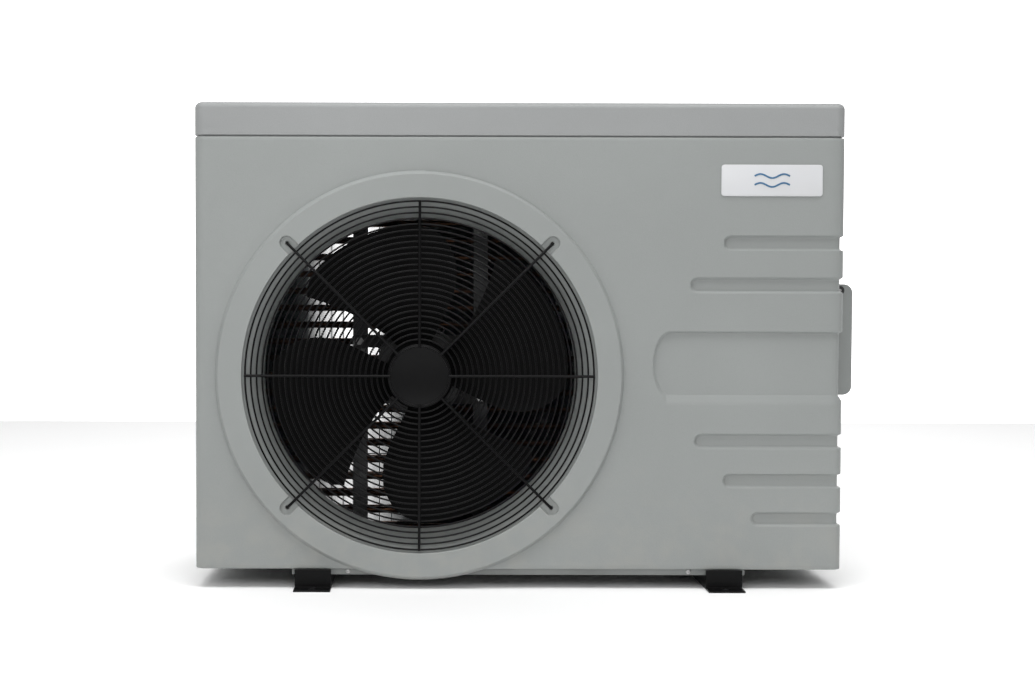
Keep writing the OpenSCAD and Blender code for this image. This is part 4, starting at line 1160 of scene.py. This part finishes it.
def make_front(settings):
    """The pressed front wall with its grooves, left open behind the ring."""
    corner = settings.casing_corner
    end = settings.casing_width / 2 - corner + corner * math.pi / 2
    end += settings.casing_return - corner
    level_roll, upright_roll, behind_ring = 0.0012, 0.0008, 0.003
    rows = panel_edge(walk(FRONT_LOW_EDGE, FRONT_TOP_EDGE, row_step, settings), level_roll,
        settings.wall)
    columns = panel_edge(walk(-end, end, column_step, settings), upright_roll, settings.wall)
    points = []
    hidden = []
    for z, row_in in rows:
        for u, column_in in columns:
            inset = max(row_in, column_in) + sunk(u, z, settings)
            points.append(round_the_corner(u, z, inset, settings))
            gap = math.hypot(u - FAN_AXIS.x, z - FAN_AXIS.z)
            hidden.append(gap < settings.ring_radius - behind_ring)
    faces = []
    wide = len(columns)
    for j in range(len(rows) - 1):
        for i in range(wide - 1):
            face = (j * wide + i, j * wide + i + 1, (j + 1) * wide + i + 1, (j + 1) * wide + i)
            if not all(hidden[k] for k in face):
                faces.append(face)
    wall = add_object("front_wall", mesh_from("front_wall", points, faces))
    shape = bmesh.new()
    shape.from_mesh(wall.data)
    loose = [v for v in shape.verts if not v.link_faces]
    bmesh.ops.delete(shape, geom=loose, context="VERTS")
    shape.to_mesh(wall.data)
    shape.free()
    smooth(wall, 50.0)
    paint(wall, "panel_grey")
    finish_piece(wall, body_of("front_panel"), "panel_grey", "front_panel")


def make_surround(settings):
    """The raised ring and throat round the guard, cut from the solid panel."""
    ring = merged(NODES["front_panel"].data)
    limit = settings.ring_radius + settings.ring_flare + 0.0002
    outer = [v for v in ring.verts
        if math.hypot(v.co.x - FAN_AXIS.x, v.co.z - FAN_AXIS.z) > limit]
    bmesh.ops.delete(ring, geom=outer, context="VERTS")
    join_flat_faces(ring)
    surround = object_from(ring, "fan_surround")
    surround.data.materials.clear()
    bevelled(surround, settings.ring_edge, 2, 40.0)
    paint(surround, "panel_grey")
    finish_piece(surround, body_of("front_panel"), "panel_grey")


# Nodes shown as their own merged copies: node, piece name, slot, edge rounding.
REFINED = [
    ("right_panel", "right_shell", "panel_grey", 0.0010),
    ("left_panel", "left_shell", "panel_grey", 0.0),
    ("rear_panel", "rear_shell", "panel_grey", 0.0),
    ("top_cover", "lid_shell", "lid_grey", 0.0),
    ("control_flap", "flap_shell", "panel_grey", 0.0009),
    ("base_pan", "pan_tray", "pan_grey", 0.0004),
    ("foot_left", "foot_rail_left", "black_steel", 0.0006),
    ("foot_right", "foot_rail_right", "black_steel", 0.0006),
    ("water_pipe_inlet", "inlet_stub", "black_plastic", 0.0006),
    ("water_pipe_outlet", "outlet_stub", "black_plastic", 0.0006),
    ("union_tail_inlet", "inlet_tail", "black_plastic", 0.0006),
    ("union_tail_outlet", "outlet_tail", "black_plastic", 0.0006),
    ("union_nut_inlet", "inlet_nut", "black_plastic", 0.0012),
    ("union_nut_outlet", "outlet_nut", "black_plastic", 0.0012),
    ("cable_gland", "gland_body", "black_plastic", 0.0006),
    ("drain_spigot", "drain_nozzle", "black_plastic", 0.0005),
    ("control_panel", "control_bezel", "black_plastic", 0.0003),
    ("button_power", "power_cap", "button_red", 0.0008),
    ("button_mode", "mode_cap", "button_grey", 0.0008),
    ("button_up", "up_cap", "button_grey", 0.0008),
    ("button_down", "down_cap", "button_grey", 0.0008),
    ("fan_motor", "motor_case", "motor_black", 0.0008),
    ("fan_nut", "fan_lock_nut", "zinc", 0.0004),
    ("coil_tubes", "copper_tubes", "copper", 0.0),
    ("compressor", "compressor_shell", "motor_black", 0.0),
    ("accumulator", "accumulator_shell", "motor_black", 0.0),
    ("heat_exchanger", "exchanger_shell", "shell_white", 0.0008),
]


def paint_plain_nodes():
    """Finishes for every CAD node, shown or not."""
    slots = {part["node"]: part["material_slot"] for part in RECORD["subparts"]}
    for node, obj in NODES.items():
        paint(obj, slots[node])


# ---- Studio ----

def aim_at(obj, target):
    way = Vector(target) - obj.location
    obj.rotation_euler = way.to_track_quat("-Z", "Y").to_euler()


def soft_panel(name, place, target, size, power):
    light = bpy.data.lights.new(name, "AREA")
    light.shape = "RECTANGLE"
    light.size = size[0]
    light.size_y = size[1]
    light.energy = power
    obj = add_object(name, light)
    obj.location = place
    aim_at(obj, target)


def studio_walls(name, settings):
    """White walls behind the object that fall off to dimmer ones beside and before it."""
    world = bpy.data.worlds.new(name)
    world.use_nodes = True
    tree = world.node_tree
    board = Board(tree)
    aim = board.add("ShaderNodeTexCoord").outputs["Generated"]
    split = board.add("ShaderNodeSeparateXYZ", inputs={0: aim})
    ahead = board.add("ShaderNodeMapRange", {"interpolation_type": "SMOOTHSTEP"},
        {"Value": split.outputs["Y"], "From Min": 0.35, "From Max": 0.8,
        "To Min": settings.front_fill, "To Max": settings.fill})
    light = tree.nodes["Background"]
    light.inputs["Color"].default_value = (1.0, 1.0, 1.0, 1.0)
    tree.links.new(ahead.outputs["Result"], light.inputs["Strength"])
    return world


def make_studio(settings):
    scene = bpy.context.scene
    scene.view_settings.view_transform = "Standard"
    scene.view_settings.look = "None"
    scene.world = studio_walls("pale studio", settings)
    half = settings.floor_size / 2
    floor = add_object("floor", mesh_from("floor", [(-half, -half, 0), (half, -half, 0),
        (half, half, 0), (-half, half, 0)], [(0, 1, 2, 3)]))
    floor.data.materials.append(pale_floor("pale floor"))
    middle = (0, 0, CAD_BOX[1][2] / 2)
    soft_panel("overhead", (0.0, -0.9, 2.6), middle, (3.2, 1.2), settings.overhead)
    soft_panel("key", (-0.6, -3.4, 2.0), middle, (3.4, 1.6), settings.key)
    soft_panel("side", (-3.0, -1.6, 1.2), middle, (1.6, 2.0), settings.side)
    soft_panel("back", (0.5, 3.0, 2.0), middle, (2.4, 1.6), settings.back)
    camera = bpy.data.cameras.new("camera")
    camera.sensor_width = 36.0
    camera.sensor_fit = "HORIZONTAL"
    camera.lens = settings.lens
    camera.shift_x = settings.shift_x
    camera.shift_y = settings.shift_y
    camera.clip_start = 0.05
    camera.clip_end = 100
    eye = add_object("camera", camera)
    eye.location = settings.eye
    eye.rotation_euler = (math.radians(90 + settings.tilt), math.radians(settings.roll),
        math.radians(settings.turn))
    scene.camera = eye


# ---- Settings ----

def length(name, text, value):
    return bpy.props.FloatProperty(name=name, description=text, default=value, precision=5,
        subtype="DISTANCE", unit="LENGTH")


def number(name, text, value):
    return bpy.props.FloatProperty(name=name, description=text, default=value, precision=4)


def whole(name, text, value):
    return bpy.props.IntProperty(name=name, description=text, default=value, min=1)


def degrees(name, text, value):
    return bpy.props.FloatProperty(name=name, description=text, default=value)


def colour(name, text, value):
    return bpy.props.FloatVectorProperty(name=name, description=text, default=value, size=3,
        min=0.0, max=1.0, subtype="COLOR")


class HeatPumpCasing(bpy.types.PropertyGroup):
    """Sizes of the front panel."""

    casing_width: length("Width", "Width of the cabinet", 0.85)
    casing_corner: length("Corner", "Radius of the upright corners", 0.013)
    casing_return: length("Return", "How far the front wraps onto the sides", 0.0596)
    wall: length("Wall", "Thickness of the moulded panels", 0.003)
    ring_radius: length("Ring radius", "Radius of the raised ring", 0.2645)
    ring_flare: length("Ring flare", "Width of the raised ring's sloping foot", 0.0035)
    ring_edge: length("Ring edge", "Rounding of the raised ring's edges", 0.0012)
    groove_depth: length("Groove depth", "How deep grooves are pressed in", 0.0045)
    groove_soft: length("Groove edge", "Width of the grooves' soft edges", 0.0028)
    recess_middle: length("Recess middle", "Height of the wide recess's middle", 0.2953)
    recess_height: length("Recess height", "Height of the wide recess", 0.086)
    recess_start: length("Recess start", "Where the recess starts, back from the right", 0.249)
    recess_end: length("Recess end", "Length of the recess's oval end", 0.023)


class HeatPumpFan(bpy.types.PropertyGroup):
    """Sizes of the fan and its guard."""

    guard_radius: length("Guard radius", "Radius of the guard's outer ring", 0.228)
    guard_plane: length("Guard plane", "Where the rings' centres lie", GUARD_LOW.y + 0.0038)
    hook_radius: length("Hook radius", "Radius at which the hooked spokes turn back", 0.2445)
    ring_count: whole("Rings", "Number of wire rings", 26)
    ring_pitch: length("Ring spacing", "Distance between rings", 0.0075)
    ring_wire: length("Ring wire", "Thickness of the ring wire", 0.0024)
    spoke_wire: length("Spoke wire", "Thickness of the spokes", 0.0036)
    blade_count: whole("Blades", "Number of fan blades", 4)
    blade_start: degrees("First blade", "Angle of the first blade's middle in degrees", 14.0)
    blade_depth: length("Blade depth", "Depth of the blades along the axis", 0.058)
    hub_radius: length("Hub radius", "Radius of the fan's hub", 0.046)


class HeatPumpCoil(bpy.types.PropertyGroup):
    """Sizes of the coil's fins and the net behind it."""

    fin_pitch: length("Fin spacing", "Distance between fins", 0.00165)
    fin_skew: number("Fin skew", "Sideways lean of the fins over their depth", 0.045)
    fin_thickness: length("Fin thickness", "Thickness of one fin", 0.00013)
    net_wire: length("Net wire", "Thickness of the net's wire", 0.0017)
    net_pitch: length("Net spacing", "Distance between the net's upright wires", 0.018)


class HeatPumpTrim(bpy.types.PropertyGroup):
    """Casing colours and small trim."""

    casing: colour("Casing", "Colour of the grained casing", (0.262, 0.276, 0.270))
    lid: colour("Lid", "Colour of the lid", (0.272, 0.280, 0.280))
    screw_radius: length("Screw head radius", "Radius of the screw heads", 0.0036)
    badge_thickness: length("Badge thickness", "How far the badge stands out", 0.0016)
    badge_corner: length("Badge corner", "Corner radius of the badge", 0.004)
    wave_width: length("Wave width", "Width of the badge's waves", 0.046)
    wave_gap: length("Wave gap", "Distance between the badge's two waves", 0.0115)
    wave_rise: length("Wave rise", "Height of the badge's waves", 0.0026)


class HeatPumpStudio(bpy.types.PropertyGroup):
    """Lights, floor and camera."""

    fill: number("Fill", "Strength of the wall behind the object", 2.1)
    front_fill: number("Front fill", "Strength of the walls beside and before it", 0.3)
    overhead: number("Overhead", "Power of the light above in watts", 60.0)
    key: number("Key", "Power of the key light in watts", 42.0)
    side: number("Side", "Power of the side light in watts", 8.0)
    back: number("Back", "Power of the rear light in watts", 20.0)
    floor_size: length("Floor", "Width of the floor", 5.2)
    lens: number("Lens", "Focal length in millimetres", 55.5)
    shift_x: number("Shift", "Sideways lens shift", 0.084)
    shift_y: number("Rise", "Upward lens shift", 0.006)
    eye: bpy.props.FloatVectorProperty(name="Eye", description="Camera position",
        default=(-0.12, -2.25, 0.386), subtype="TRANSLATION", unit="LENGTH")
    tilt: degrees("Tilt", "Camera tilt in degrees, up positive", -2.2)
    turn: degrees("Turn", "Camera turn in degrees", -0.1)
    roll: degrees("Roll", "Camera roll in degrees", -0.15)


GROUPS = {
    "heat_pump_casing": HeatPumpCasing,
    "heat_pump_fan": HeatPumpFan,
    "heat_pump_coil": HeatPumpCoil,
    "heat_pump_trim": HeatPumpTrim,
    "heat_pump_studio": HeatPumpStudio,
}


# ---- Operators ----

class PaintFrame(bpy.types.Operator):
    """Make every finish and give it to the plain nodes"""

    bl_idname = "heat_pump.paint_frame"
    bl_label = "Finishes"

    def execute(self, context):
        trim = context.scene.heat_pump_trim
        build_finishes(tuple(trim.casing), tuple(trim.lid))
        paint_plain_nodes()
        return {"FINISHED"}


class BuildShells(bpy.types.Operator):
    """Make the rounded casing, pan, feet, unions, caps and machinery shells"""

    bl_idname = "heat_pump.build_shells"
    bl_label = "Casing and fittings"

    def execute(self, context):
        for node, name, slot, width in REFINED:
            refined(node, name, slot, width)
        return {"FINISHED"}


class BuildFront(bpy.types.Operator):
    """Make the pressed front panel with its grooves and raised ring"""

    bl_idname = "heat_pump.build_front"
    bl_label = "Front panel"

    def execute(self, context):
        make_front(context.scene.heat_pump_casing)
        make_surround(context.scene.heat_pump_casing)
        return {"FINISHED"}


class BuildGuard(bpy.types.Operator):
    """Make the wire guard"""

    bl_idname = "heat_pump.build_guard"
    bl_label = "Fan guard"

    def execute(self, context):
        make_guard(context.scene.heat_pump_fan)
        return {"FINISHED"}


class BuildFan(bpy.types.Operator):
    """Make the moulded fan"""

    bl_idname = "heat_pump.build_fan"
    bl_label = "Fan"

    def execute(self, context):
        make_fan(context.scene.heat_pump_fan)
        return {"FINISHED"}


class BuildCoil(bpy.types.Operator):
    """Make the fins and the net behind the coil"""

    bl_idname = "heat_pump.build_coil"
    bl_label = "Coil and net"

    def execute(self, context):
        make_fins(context.scene.heat_pump_coil)
        make_net(context.scene.heat_pump_coil)
        return {"FINISHED"}


class BuildTrim(bpy.types.Operator):
    """Make the badge, the screw heads and the lit display"""

    bl_idname = "heat_pump.build_trim"
    bl_label = "Badge, screws and display"

    def execute(self, context):
        trim = context.scene.heat_pump_trim
        make_badge(trim)
        make_screws(trim)
        make_display()
        return {"FINISHED"}


class BuildStudio(bpy.types.Operator):
    """Make the floor, the lights and the camera"""

    bl_idname = "heat_pump.build_studio"
    bl_label = "Studio"

    def execute(self, context):
        make_studio(context.scene.heat_pump_studio)
        return {"FINISHED"}


STEPS = (BuildStudio, PaintFrame, BuildShells, BuildFront, BuildGuard, BuildFan, BuildCoil,
    BuildTrim)


class HeatPumpPanel(bpy.types.Panel):
    """Lists the pieces of the heat pump"""

    bl_idname = "VIEW3D_PT_heat_pump"
    bl_label = "Heat pump"
    bl_space_type = "VIEW_3D"
    bl_region_type = "UI"
    bl_category = "Heat Pump"

    def draw(self, context):
        for step in STEPS:
            self.layout.operator(step.bl_idname)
        for prop, group in GROUPS.items():
            box = self.layout.box()
            for key in group.__annotations__:
                box.prop(getattr(context.scene, prop), key)


def register():
    for group in GROUPS.values():
        bpy.utils.register_class(group)
    for step in STEPS + (HeatPumpPanel,):
        bpy.utils.register_class(step)
    for prop, group in GROUPS.items():
        setattr(bpy.types.Scene, prop, bpy.props.PointerProperty(type=group))


def unregister():
    for prop in GROUPS:
        delattr(bpy.types.Scene, prop)
    for step in reversed(STEPS + (HeatPumpPanel,)):
        bpy.utils.unregister_class(step)
    for group in reversed(list(GROUPS.values())):
        bpy.utils.unregister_class(group)


def main():
    register()
    for step in STEPS:
        group, action = step.bl_idname.split(".")
        getattr(getattr(bpy.ops, group), action)()


if __name__ == "__main__":
    main()
